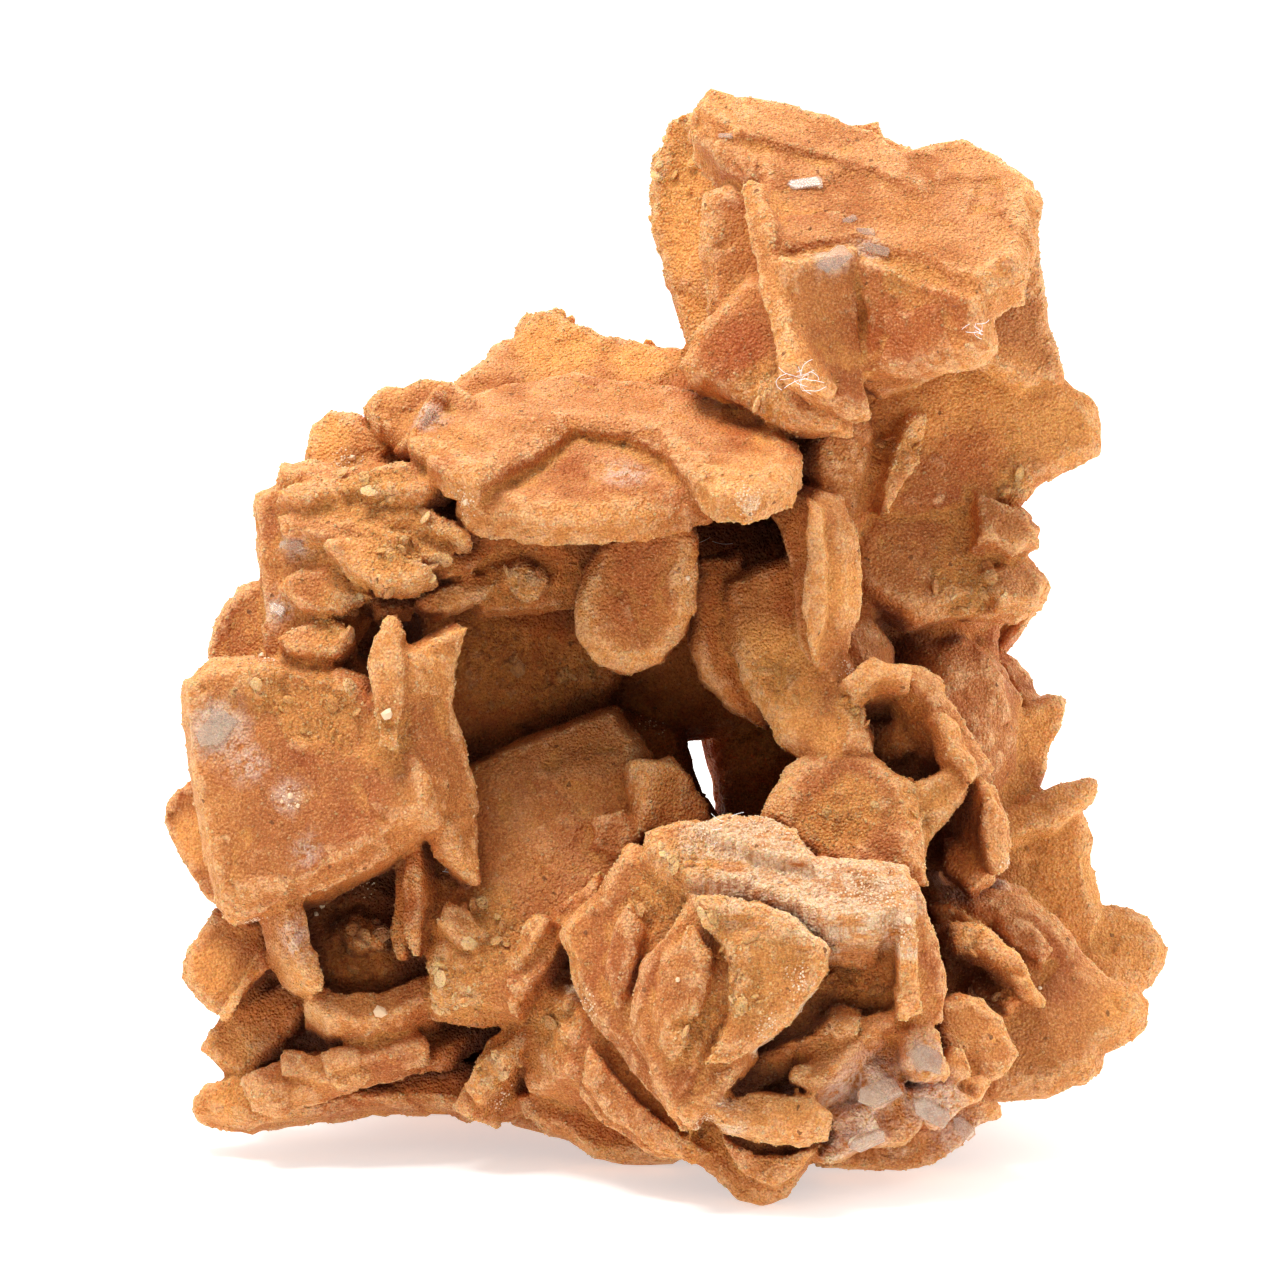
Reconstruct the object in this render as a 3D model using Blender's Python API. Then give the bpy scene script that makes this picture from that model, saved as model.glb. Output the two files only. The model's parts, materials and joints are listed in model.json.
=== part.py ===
"""A desert rose: gypsum blades grown through one another, as one piece of stone.

The blades of the front are drawn as they look from the front, on a square sheet ruled in millimetres,
x from its left edge and y down from its top. Each outline is then set back along the lines of sight onto
its blade's own plane. The blades of the back are uneven rounds, set behind the others. Everything is fused
into one solid, and the lowest tips are worn flat where the rose stands.
"""

import math
import random

import bmesh
import bpy
from mathutils import Matrix, Vector

MM = 0.001
SEED = 7

# Front view: the sheet stands square to the line of sight, and the eye looks at its middle
SHEET_MIDDLE = 32.0
EYE_DISTANCE = 260.0
EYE_RAISE = math.radians(9.0)
SHEET_AT = Vector((-1.65, 0.0, 25.2))

# Blades
RISE_SHARE = 0.28
SLOPE_SHARE = 0.15
WIDEST_SLOPE = 0.8
LONGEST_SIDE = 4.6
SIDE_WAVE = 0.06

# Ground that the blades grow from
LUMP_DETAIL = 2
LUMP_UNEVENNESS = 0.10

FLAT_WITHIN = math.radians(0.5)
TRIANGLES = 9400

GYPSUM = (0.60, 0.30, 0.13, 1.0)

RIGHT = Vector((1.0, 0.0, 0.0))
SIGHT = Vector((0.0, math.cos(EYE_RAISE), -math.sin(EYE_RAISE)))
UP = RIGHT.cross(SIGHT)
EYE = SHEET_AT - SIGHT * EYE_DISTANCE

# Each blade: outline on the sheet, nearness of its middle to the eye, degrees it faces to the right and
# up, thickness
CROWN = {
    "roof": ([(34.6, 6.6), (37.7, 9.4), (38.9, 13.3), (42.8, 12.8), (46.0, 13.8), (49.2, 15.0),
              (50.2, 14.2), (51.2, 13.8), (51.8, 12.0), (52.0, 10.0), (51.6, 9.0), (50.0, 7.8),
              (48.2, 7.0), (45.3, 7.5), (43.0, 7.8), (39.0, 6.6)], 3.6, (0, 45), 2.6),
    "roof_back": ([(34.6, 5.7), (35.3, 4.8), (37.2, 5.2), (39.0, 5.4), (41.3, 6.1), (44.2, 7.0),
                   (46.8, 9.6), (46.4, 10.6), (43.5, 9.2), (40.6, 8.3), (36.4, 7.2)], 0.6, (5, 48), 2.4),
    "peak": ([(41.9, 6.4), (43.9, 6.0), (44.3, 7.2), (44.8, 9.0), (42.2, 9.0)], -1.6, (10, 20), 2.0),
    "left_wall": ([(33.6, 5.9), (34.5, 5.6), (36.4, 6.6), (36.8, 9.5), (36.2, 13.0), (36.4, 15.8),
                   (34.7, 18.0), (34.1, 17.4), (33.6, 15.0), (32.8, 12.5), (32.6, 10.4), (32.9, 7.6)],
                   -4.2, (-32, 8), 1.7),
    "inner_wall": ([(35.2, 9.7), (36.8, 9.2), (39.0, 10.0), (40.0, 15.0), (38.0, 16.0), (35.6, 15.8),
                    (35.1, 12.6)], 1.2, (-14, 4), 2.2),
    "front_rim": ([(37.6, 9.7), (38.2, 9.1), (39.2, 11.2), (39.8, 15.0), (40.4, 18.8), (39.9, 19.3),
                   (39.1, 17.0), (38.2, 13.0)], 6.6, (-46, 16), 3.0),
    "left_tooth": ([(39.0, 13.0), (42.8, 12.2), (43.2, 17.5), (43.5, 20.9), (42.4, 20.9), (40.6, 19.6),
                    (39.9, 18.8), (39.3, 16.0)], 7.2, (24, 2), 2.0),
    "right_tooth": ([(42.7, 12.6), (46.0, 13.6), (49.2, 14.6), (49.3, 17.5), (48.6, 18.2), (46.0, 18.8),
                     (43.0, 19.0)], 7.4, (-20, -2), 2.4),
    "right_wall": ([(50.6, 11.5), (51.9, 12.2), (52.4, 15.5), (52.4, 16.6), (53.3, 19.2), (51.0, 19.6),
                    (48.5, 18.0), (48.0, 14.4)], 0.2, (24, -4), 2.2),
}

NECK = {
    "neck_blade": ([(38.6, 13.9), (37.4, 13.8), (36.3, 15.0), (34.9, 16.5), (34.1, 18.3), (34.5, 19.2),
                    (36.8, 20.3), (39.5, 21.4), (42.0, 21.4), (42.0, 17.0)], 3.2, (-24, 14), 2.0),
    "upper_plate": ([(39.5, 20.0), (43.4, 17.0), (47.0, 17.0), (49.6, 16.7), (51.0, 17.7), (51.7, 18.5),
                     (52.6, 18.4), (53.6, 19.4), (54.6, 20.0), (55.1, 20.9), (55.0, 22.6), (54.0, 23.2),
                     (52.4, 24.1), (50.6, 25.3), (46.0, 26.0), (40.5, 26.0)], -0.6, (12, 4), 2.2),
    "lower_plate": ([(40.2, 24.2), (44.0, 24.6), (48.4, 24.8), (51.0, 25.3), (52.1, 26.4), (51.4, 27.8),
                     (52.4, 29.2), (52.3, 30.0), (51.0, 30.7), (48.2, 30.5), (45.6, 31.1), (43.4, 30.2),
                     (41.2, 30.0), (40.2, 28.0)], 0.4, (8, 14), 2.4),
    "standing_chip": ([(45.2, 20.6), (45.9, 20.8), (45.8, 22.6), (44.8, 24.6), (43.8, 25.9), (43.6, 24.2),
                       (44.3, 22.2)], 1.6, (34, 6), 3.2),
    "plate_ledge": ([(48.6, 24.6), (49.8, 25.0), (51.2, 25.7), (51.8, 27.2), (50.8, 27.6), (49.0, 27.0)],
                     1.0, (20, 30), 1.6),
    "plate_knob": ([(49.0, 28.6), (50.8, 28.2), (52.2, 29.2), (51.8, 30.2), (50.0, 30.2)], 1.0, (22, 30),
                    1.4),
}

TABLE = {
    "table_top": ([(20.5, 22.2), (21.9, 20.8), (24.0, 19.6), (26.2, 19.1), (28.7, 18.7), (31.0, 19.2),
                   (34.0, 19.5), (37.0, 20.3), (39.0, 21.5), (40.0, 22.7), (40.1, 23.3), (39.4, 24.2),
                   (37.4, 25.0), (35.9, 24.9), (34.4, 23.7), (33.0, 22.5), (31.3, 21.8), (28.7, 21.4),
                   (27.0, 22.7), (25.2, 23.5), (23.8, 24.1), (22.4, 23.6)], 3.4, (0, 60), 1.8),
    "table_shelf": ([(22.9, 24.9), (24.0, 23.6), (27.0, 21.4), (30.0, 20.6), (34.0, 21.8), (36.4, 24.5),
                     (34.4, 25.4), (32.2, 25.9), (29.5, 26.2), (27.0, 26.1), (25.0, 25.7), (23.3, 25.3)],
                     4.6, (0, 54), 1.9),
    "back_ridge": ([(24.3, 18.0), (24.6, 17.4), (25.7, 16.9), (26.4, 16.0), (27.3, 15.7), (28.2, 15.8),
                    (29.1, 16.5), (30.2, 16.9), (32.0, 17.1), (34.4, 17.5), (36.4, 19.6), (33.5, 21.0),
                    (27.0, 21.0), (21.6, 20.6), (22.6, 19.2)], -4.4, (0, 46), 2.4),
    "edge_lump": ([(18.3, 20.5), (19.2, 19.4), (20.3, 19.5), (21.4, 19.0), (22.8, 19.2), (24.4, 20.4),
                   (22.6, 22.6), (20.5, 22.9), (18.8, 21.7)], 0.6, (-10, 34), 2.6),
    "edge_blade": ([(20.3, 22.0), (20.9, 20.5), (21.8, 19.5), (22.2, 20.2), (21.4, 22.0), (20.8, 22.6)],
                    2.3, (30, 24), 2.0),
}

SHOULDER = {
    "top_knob": ([(15.2, 23.0), (15.6, 21.5), (16.6, 20.7), (17.9, 20.8), (18.8, 21.5), (19.8, 23.0),
                  (18.0, 24.2), (15.6, 24.2)], -0.4, (-14, 26), 3.0),
    "outer_wall": ([(12.8, 25.5), (12.9, 24.8), (13.8, 24.2), (14.1, 23.3), (15.6, 22.9), (18.0, 24.0),
                    (18.0, 30.0), (15.0, 34.0), (13.3, 33.0), (13.1, 29.5), (13.0, 27.0)], 2.2, (-28, 4),
                    3.4),
    "top_band": ([(13.8, 24.8), (15.0, 24.2), (17.0, 23.9), (19.5, 23.5), (21.6, 23.2), (22.5, 24.2),
                  (21.0, 25.0), (19.0, 25.0), (17.0, 24.9), (15.0, 25.4)], 4.0, (-6, 40), 1.4),
    "second_band": ([(13.7, 25.9), (16.0, 25.3), (18.5, 25.0), (20.5, 25.3), (22.8, 26.2), (23.5, 27.2),
                     (21.0, 26.7), (18.5, 26.2), (16.5, 26.7), (14.2, 26.8)], 4.4, (-4, 30), 1.4),
    "lit_petal": ([(16.2, 27.2), (17.5, 26.8), (19.3, 27.0), (21.0, 28.1), (21.8, 28.9), (20.6, 29.4),
                   (19.0, 29.3), (17.6, 28.7)], 5.8, (2, 22), 1.3),
    "upper_petal": ([(18.6, 26.3), (20.6, 26.4), (22.6, 27.4), (22.5, 28.1), (21.2, 28.2), (19.6, 27.5)],
                     4.8, (10, 26), 1.2),
    "hanging_petal": ([(20.7, 30.2), (21.6, 29.6), (23.6, 28.8), (25.2, 28.2), (25.4, 29.2), (23.8, 30.1),
                       (22.3, 30.7), (21.3, 30.6)], 3.8, (14, 20), 1.3),
    "upper_tongue": ([(13.8, 29.4), (15.0, 28.4), (17.0, 28.4), (18.9, 29.6), (17.4, 30.5), (16.2, 30.9),
                      (15.0, 30.5)], 4.4, (-4, 16), 1.7),
    "lower_tongue": ([(13.7, 32.0), (15.0, 31.2), (17.0, 31.2), (17.7, 32.0), (17.0, 32.7), (15.9, 33.0),
                      (14.6, 32.8)], 4.8, (-4, 30), 1.5),
    "left_lobe": ([(13.4, 28.8), (11.9, 29.5), (10.8, 31.0), (10.4, 32.8), (11.0, 35.0), (15.0, 35.4),
                   (15.6, 31.0)], 0.6, (-26, 8), 2.4),
}

LEFT_BLOCK = {
    "block": ([(9.2, 34.2), (10.6, 33.0), (13.4, 32.8), (17.0, 33.4), (20.6, 35.0), (21.9, 38.1),
               (22.4, 39.2), (22.3, 40.4), (21.8, 41.3), (18.0, 43.5), (15.3, 44.9), (13.6, 45.3),
               (11.6, 46.0), (10.8, 45.2), (10.2, 43.0), (9.8, 40.6), (9.3, 38.4), (9.2, 36.0)], 5.4,
               (-12, 8), 4.4),
    "block_step": ([(12.6, 36.8), (16.0, 35.6), (20.2, 36.4), (22.0, 38.6), (22.1, 40.6), (18.4, 42.6),
                    (14.0, 43.6), (12.0, 41.0)], 6.1, (-6, 10), 1.6),
    "side_lobe": ([(8.4, 40.0), (9.6, 38.8), (11.0, 40.0), (11.6, 45.2), (10.6, 45.0), (9.7, 43.8),
                   (8.9, 42.5), (8.3, 41.0)], 1.4, (-24, 0), 2.4),
    "spire": ([(19.5, 30.8), (20.1, 31.6), (20.4, 33.4), (20.3, 36.0), (19.9, 37.6), (18.9, 37.2),
               (18.6, 35.0), (18.4, 33.2), (18.9, 31.8)], 7.6, (-12, 6), 1.5),
    "side_blade": ([(20.3, 32.6), (21.8, 31.8), (23.3, 31.2), (23.0, 32.8), (22.7, 34.2), (22.6, 35.3),
                    (23.2, 37.0), (23.6, 39.2), (23.9, 41.6), (24.0, 44.2), (23.6, 44.4), (22.5, 43.0),
                    (21.7, 41.3), (21.3, 39.0), (20.3, 36.8)], 6.0, (36, 0), 1.6),
}

HOLLOW = {
    "tongue": ([(29.0, 28.5), (30.4, 26.5), (33.0, 25.0), (34.6, 25.6), (34.8, 28.0), (34.7, 30.4),
                (34.2, 31.9), (33.0, 33.2), (31.4, 33.8), (29.9, 33.0), (29.0, 31.8), (28.7, 30.2)], 4.4,
                (-6, 0), 1.6),
    "inner_strip": ([(34.5, 30.0), (34.6, 28.0), (37.0, 27.6), (38.0, 32.0), (38.6, 36.4), (37.4, 35.8),
                     (36.2, 35.0), (35.1, 34.0), (34.6, 32.6)], 1.6, (12, 6), 1.5),
    "chute": ([(36.1, 29.3), (37.0, 28.6), (39.0, 28.0), (40.2, 27.4), (41.0, 31.0), (42.4, 33.2),
               (43.0, 35.4), (43.5, 37.6), (41.2, 38.2), (39.9, 37.8), (39.0, 37.2), (38.2, 36.0),
               (37.2, 34.3), (36.5, 32.4), (36.2, 30.8)], 3.6, (-18, 14), 1.9),
    "fin": ([(38.2, 25.2), (39.6, 24.2), (41.4, 24.6), (42.2, 27.0), (42.2, 30.6), (41.2, 33.6),
             (40.1, 32.6), (39.7, 28.8), (39.1, 26.4)], 4.0, (-42, 4), 1.8),
    "lap": ([(22.6, 38.4), (24.6, 37.6), (27.2, 36.6), (29.5, 35.7), (30.8, 35.5), (31.8, 36.7),
             (32.6, 37.8), (32.3, 39.6), (32.6, 41.2), (32.0, 44.0), (29.0, 47.0), (26.0, 50.5),
             (21.6, 50.0), (20.6, 45.0), (21.6, 41.0)], 1.4, (-2, 30), 3.0),
    "lap_chip": ([(31.8, 38.2), (33.6, 38.0), (34.5, 39.0), (35.4, 40.3), (35.6, 41.6), (34.0, 42.2),
                  (31.8, 41.6)], 2.4, (22, 10), 1.8),
    "lap_edge": ([(30.4, 43.6), (29.6, 44.4), (28.0, 45.6), (26.6, 47.0), (25.8, 48.4), (25.3, 50.2),
                  (26.2, 50.0), (27.2, 48.2), (28.8, 46.6), (30.4, 45.2)], 5.2, (-30, 20), 3.0),
    "lintel_knob": ([(22.8, 25.4), (28.0, 25.6), (33.0, 25.4), (33.2, 28.0), (31.0, 29.8), (27.0, 30.8),
                     (24.0, 30.9), (22.0, 29.0)], 2.2, (2, -14), 3.0),
    "back_wall_left": ([(20.0, 29.0), (28.0, 28.0), (31.0, 30.0), (31.0, 34.0), (29.0, 37.6), (22.0, 40.6)],
                       -3.8, (16, -4), 2.4),
    "back_wall_top": ([(26.0, 27.0), (36.0, 24.0), (42.0, 26.0), (42.0, 33.0), (37.4, 36.8), (34.9, 37.1),
                       (32.0, 37.4), (27.0, 35.0)], -7.0, (-2, -8), 2.4),
    "back_wall_right": ([(34.8, 36.6), (38.0, 34.0), (44.0, 34.0), (44.0, 42.0), (39.0, 44.6), (35.9, 43.4),
                         (35.7, 40.2)], -8.0, (-14, 4), 2.2),
    "back_wall_low": ([(26.0, 39.0), (31.0, 35.4), (34.3, 36.4), (34.5, 37.6), (35.5, 40.2), (36.1, 41.0),
                       (36.0, 44.4), (29.0, 46.0)], -6.0, (8, 8), 2.2),
}

LOWER_LEFT = {
    "cell_rim": ([(13.9, 45.0), (14.9, 44.9), (15.5, 47.0), (15.9, 49.2), (15.7, 49.7), (15.1, 49.3),
                  (14.4, 48.0), (13.9, 46.3)], 5.0, (30, 4), 3.0),
    "cell_rib": ([(20.2, 42.4), (21.4, 42.0), (21.3, 44.2), (21.0, 46.6), (20.6, 48.0), (20.0, 46.8),
                  (20.2, 44.4)], 3.6, (-36, 4), 3.0),
    "cell_back": ([(13.6, 43.8), (21.0, 41.6), (24.6, 44.4), (24.6, 48.8), (20.0, 50.0), (15.6, 49.4)],
                   0.8, (4, 14), 2.6),
    "cleft_wall": ([(11.0, 50.4), (16.0, 49.6), (22.0, 50.0), (22.6, 54.6), (12.4, 55.2)], -1.6, (-4, 4),
                    2.0),
    "cell_lip": ([(15.3, 49.3), (17.0, 50.0), (19.0, 49.8), (21.2, 49.1), (23.0, 49.0), (21.8, 50.4),
                  (20.0, 51.3), (18.3, 51.8), (16.5, 51.4), (15.3, 50.5)], 4.0, (-4, 36), 3.0),
    "upper_lobe": ([(10.9, 45.4), (14.2, 45.0), (14.6, 47.2), (13.2, 48.6), (12.2, 49.8), (11.7, 50.5),
                    (10.9, 50.7), (9.9, 50.1), (9.3, 48.8), (9.4, 47.4), (10.2, 46.2)], 1.6, (-18, 10),
                    1.8),
    "lobe_ridge": ([(14.6, 46.6), (14.0, 47.9), (12.8, 49.0), (11.8, 50.4), (11.3, 50.2), (12.2, 48.6),
                    (13.2, 47.4), (14.0, 46.7)], 3.0, (20, 30), 2.2),
    "lower_lobe": ([(10.9, 50.9), (12.6, 49.4), (14.6, 49.0), (15.6, 50.6), (14.2, 52.4), (12.2, 53.9),
                    (11.0, 53.6), (10.1, 52.5), (10.3, 51.6)], 1.2, (-14, 10), 1.8),
    "bottom_ledge": ([(12.2, 54.0), (14.0, 53.1), (16.5, 52.5), (20.0, 51.7), (23.0, 51.0), (25.0, 51.2),
                      (22.6, 52.8), (19.0, 53.8), (16.0, 54.5), (13.8, 55.1), (12.7, 54.9)], 3.2,
                      (-2, 40), 1.3),
    "bottom_plate": ([(9.7, 55.2), (10.3, 54.2), (12.2, 53.6), (16.0, 53.6), (20.0, 52.8), (24.4, 53.2),
                      (24.6, 54.8), (23.4, 55.6), (21.5, 55.3), (18.0, 55.4), (15.0, 55.8), (12.6, 56.2),
                      (11.0, 56.0), (9.9, 55.6)], 1.6, (-2, 22), 2.2),
    "corner_rib": ([(26.8, 51.4), (26.4, 52.3), (25.2, 53.6), (24.4, 54.9), (23.8, 56.0), (23.1, 55.6),
                    (23.8, 54.0), (24.8, 52.4), (26.0, 51.0)], 4.2, (-34, 20), 3.0),
    "corner_plate": ([(24.2, 54.6), (26.6, 51.6), (29.0, 52.2), (29.0, 54.2), (27.0, 54.9), (25.8, 55.6),
                      (24.4, 56.1)], 2.6, (-6, 24), 1.6),
    "foot_blade": ([(25.8, 54.8), (26.3, 55.8), (27.2, 56.5), (28.3, 56.9), (29.5, 57.8), (31.0, 58.1),
                    (33.4, 58.1), (35.0, 57.0), (33.0, 54.0), (28.0, 53.6)], 4.2, (-8, 10), 2.4),
}

ROSETTE = {
    "outer_crescent": ([(28.0, 51.6), (28.4, 52.8), (28.9, 53.8), (29.1, 54.8), (30.0, 55.9),
                        (31.4, 56.8), (32.8, 57.8), (34.6, 58.0), (36.0, 59.2), (36.9, 60.0),
                        (38.0, 60.3), (39.0, 59.9), (40.2, 58.4), (39.0, 55.0), (34.0, 51.0),
                        (30.0, 49.6)], 9.2, (-18, 8), 1.7),
    "left_blade": ([(31.4, 42.2), (30.6, 43.5), (29.8, 44.7), (28.1, 46.0), (27.9, 46.8), (28.5, 48.2),
                    (28.6, 49.3), (29.3, 50.6), (29.8, 51.4), (30.8, 52.4), (31.5, 53.5), (32.6, 54.8),
                    (34.2, 56.6), (35.2, 52.0), (34.6, 47.0), (34.9, 44.4), (33.0, 42.6)], 9.2, (-24, 8),
                    2.2),
    "second_blade": ([(34.6, 44.8), (33.4, 46.4), (32.1, 48.0), (31.8, 49.6), (31.5, 51.0), (31.8, 52.3),
                      (32.3, 53.3), (32.6, 54.5), (33.6, 56.0), (35.0, 54.6), (36.0, 51.4), (37.4, 48.6),
                      (37.0, 45.6)], 12.0, (-20, 8), 2.0),
    "third_blade": ([(36.9, 50.4), (35.6, 51.5), (34.5, 52.7), (33.6, 54.0), (33.4, 55.2), (34.4, 56.2),
                     (36.0, 55.0), (37.6, 52.6)], 12.7, (-18, 12), 1.4),
    "central_petal": ([(34.6, 44.8), (37.0, 45.1), (39.6, 46.0), (41.4, 47.4), (41.3, 48.6), (40.4, 49.9),
                       (39.4, 51.2), (38.0, 52.2), (36.4, 53.1), (35.3, 53.1), (36.4, 51.2),
                       (36.6, 48.4)], 13.9, (-10, 4), 1.6),
    "top_slab": ([(32.4, 41.7), (34.5, 41.2), (36.5, 40.9), (38.4, 41.1), (39.9, 41.7), (41.0, 42.9),
                  (43.0, 43.2), (45.4, 43.4), (46.0, 44.6), (45.4, 46.2), (43.6, 46.9), (41.4, 46.9),
                  (39.4, 46.0), (37.0, 45.1), (34.4, 44.8), (31.8, 43.0)], 10.2, (2, 44), 3.0),
    "slab_tier": ([(34.6, 41.4), (36.5, 40.9), (38.4, 41.1), (39.9, 41.8), (40.7, 43.4), (38.4, 43.2),
                   (36.4, 42.5)], 10.2, (0, 42), 1.2),
    "upper_recess": ([(40.6, 46.6), (45.0, 46.0), (45.6, 51.4), (42.6, 52.4), (39.4, 53.0), (38.0, 50.0)],
                      9.8, (-10, -6), 2.4),
    "recess_ridge": ([(44.9, 50.7), (43.2, 51.2), (41.9, 52.2), (40.6, 53.2), (39.4, 54.3), (40.6, 54.8),
                      (42.2, 53.8), (43.4, 52.5), (44.9, 51.7)], 11.6, (-14, 34), 3.4),
    "right_fin": ([(44.9, 44.6), (45.8, 43.8), (46.3, 45.2), (46.8, 46.9), (47.2, 48.8), (47.2, 51.2),
                   (46.0, 51.6), (45.0, 51.2), (44.8, 48.0)], 10.8, (26, 4), 1.8),
    "fin_edge": ([(44.8, 45.6), (45.6, 44.8), (45.9, 48.0), (45.9, 50.6), (44.9, 50.9), (44.7, 48.0)],
                  12.0, (8, 4), 3.0),
    "lower_lip": ([(35.2, 55.4), (36.2, 54.8), (38.5, 54.6), (40.6, 54.8), (41.7, 55.8), (41.3, 56.6),
                   (40.0, 57.1), (38.5, 57.0), (37.0, 56.6), (36.0, 56.2)], 13.2, (-2, 30), 1.3),
    "tip_blade": ([(35.9, 56.4), (38.0, 56.4), (41.0, 57.2), (40.4, 58.4), (39.6, 59.6), (38.6, 59.8),
                   (37.6, 58.9), (36.8, 57.8)], 11.2, (4, -10), 1.8),
    "clear_mass": ([(40.6, 54.4), (41.8, 52.9), (43.5, 52.8), (44.4, 53.6), (46.0, 54.0), (48.0, 53.8),
                    (49.4, 54.0), (48.9, 55.1), (47.7, 55.8), (46.2, 56.0), (45.2, 57.2), (43.2, 57.4),
                    (42.0, 58.1), (40.6, 58.2), (41.2, 56.6)], 9.6, (12, -2), 3.0),
    "cube_chip": ([(44.9, 51.5), (46.4, 51.1), (47.0, 51.6), (47.4, 53.2), (47.2, 53.9), (46.0, 53.9),
                   (45.3, 53.2)], 11.6, (18, 12), 2.0),
    "small_chip": ([(47.2, 52.4), (48.1, 52.6), (48.7, 53.9), (47.6, 54.2), (47.0, 53.4)], 10.0, (20, 10),
                    1.4),
    "ear": ([(38.2, 40.9), (38.8, 39.6), (39.4, 38.4), (40.2, 37.8), (41.5, 37.4), (43.2, 37.4),
             (44.5, 38.5), (45.6, 39.2), (46.1, 41.0), (46.2, 43.6), (44.0, 44.6), (40.5, 43.4)], 6.4,
             (-4, 24), 2.2),
    "ear_flap": ([(45.0, 39.4), (46.3, 38.9), (47.6, 38.5), (48.5, 39.0), (48.1, 40.0), (47.1, 41.2),
                  (46.3, 42.2), (46.0, 44.0), (44.8, 43.0)], 5.6, (18, 8), 1.4),
}

RIGHT_SIDE = {
    "hook_top": ([(41.8, 34.4), (43.0, 33.6), (45.0, 33.7), (46.1, 34.2), (46.9, 35.3), (48.4, 37.8),
                  (49.1, 39.2), (48.2, 39.3), (46.6, 37.6), (45.7, 35.8), (44.8, 34.8), (42.6, 35.0)],
                  3.6, (34, 26), 4.6),
    "hook_side": ([(48.2, 38.6), (49.2, 39.2), (49.9, 41.0), (50.1, 42.4), (49.6, 43.3), (48.8, 43.5),
                   (48.4, 42.0), (48.3, 40.2)], 3.4, (30, 0), 3.8),
    "hook_inside": ([(42.0, 34.8), (45.0, 34.4), (46.6, 37.0), (48.8, 39.2), (49.6, 43.4), (46.0, 43.6),
                     (44.0, 40.0)], 0.4, (-20, -4), 1.8),
    "pocket_rock": ([(42.4, 35.6), (44.6, 35.6), (46.6, 38.2), (46.0, 40.0), (43.4, 38.6)], 2.2, (-6, 12),
                     1.6),
    "far_plate": ([(44.0, 33.6), (45.4, 31.0), (47.6, 30.5), (50.0, 30.8), (49.9, 33.2), (48.8, 36.0),
                   (47.6, 37.4), (45.0, 36.0)], -3.6, (12, 8), 2.0),
    "fan_upper": ([(48.6, 33.2), (50.0, 33.2), (51.3, 33.5), (51.8, 34.4), (52.2, 35.6), (50.6, 37.0),
                   (48.0, 37.0), (47.4, 34.6)], -6.4, (10, 16), 2.0),
    "fan_blade": ([(51.0, 35.4), (52.4, 34.7), (53.2, 34.9), (53.1, 36.2), (52.4, 37.7), (52.1, 39.2),
                   (51.6, 41.0), (49.0, 40.4), (49.4, 38.0), (50.2, 36.8)], -5.0, (24, 4), 1.8),
    "fan_finger": ([(51.6, 39.6), (53.6, 39.1), (54.4, 38.8), (55.0, 39.0), (54.9, 39.6), (54.2, 40.3),
                    (53.0, 41.2), (50.0, 42.2), (49.6, 40.6)], -4.2, (8, 30), 1.3),
    "fan_body": ([(49.4, 41.8), (51.6, 40.6), (54.1, 40.3), (54.7, 42.0), (54.5, 43.3), (54.7, 44.6),
                  (55.4, 46.0), (54.0, 48.4), (50.0, 47.0), (48.4, 44.0)], -4.8, (14, 10), 2.2),
    "fan_lower": ([(53.0, 45.0), (55.2, 45.3), (56.5, 45.4), (57.6, 46.0), (57.8, 46.8), (58.3, 47.5),
                   (58.0, 48.4), (57.5, 49.1), (56.8, 49.6), (54.0, 50.0), (52.4, 48.0)], -5.4, (20, 12),
                   1.8),
    "wing": ([(46.2, 44.2), (48.0, 44.3), (50.0, 44.7), (51.4, 44.9), (52.7, 45.7), (53.6, 46.7),
              (54.3, 47.8), (55.6, 48.8), (56.9, 49.3), (57.4, 50.1), (57.4, 51.3), (56.5, 52.0),
              (55.2, 52.6), (54.9, 53.5), (54.3, 54.0), (52.6, 54.6), (50.4, 54.9), (48.0, 55.2),
              (46.0, 52.0)], 1.8, (14, 12), 2.2),
    "wing_ridge": ([(46.5, 45.2), (48.0, 45.5), (49.6, 46.7), (51.2, 48.2), (51.9, 49.6), (50.8, 49.5),
                    (49.2, 48.3), (47.2, 47.4)], 4.6, (-16, 26), 2.6),
    "round_petal": ([(46.8, 50.2), (48.0, 49.7), (49.1, 50.0), (50.0, 50.9), (50.4, 51.8), (50.8, 52.7),
                     (50.4, 53.5), (49.6, 54.0), (48.2, 54.2), (46.8, 53.0)], 7.4, (16, 6), 1.3),
    "under_blade": ([(41.2, 57.2), (45.2, 55.4), (48.4, 54.4), (50.0, 55.2), (49.9, 55.8), (48.9, 56.2),
                     (48.0, 57.2), (46.6, 58.1), (45.0, 58.5), (43.0, 58.5), (41.0, 58.4)], 5.8, (8, -6),
                     2.6),
}

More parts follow.
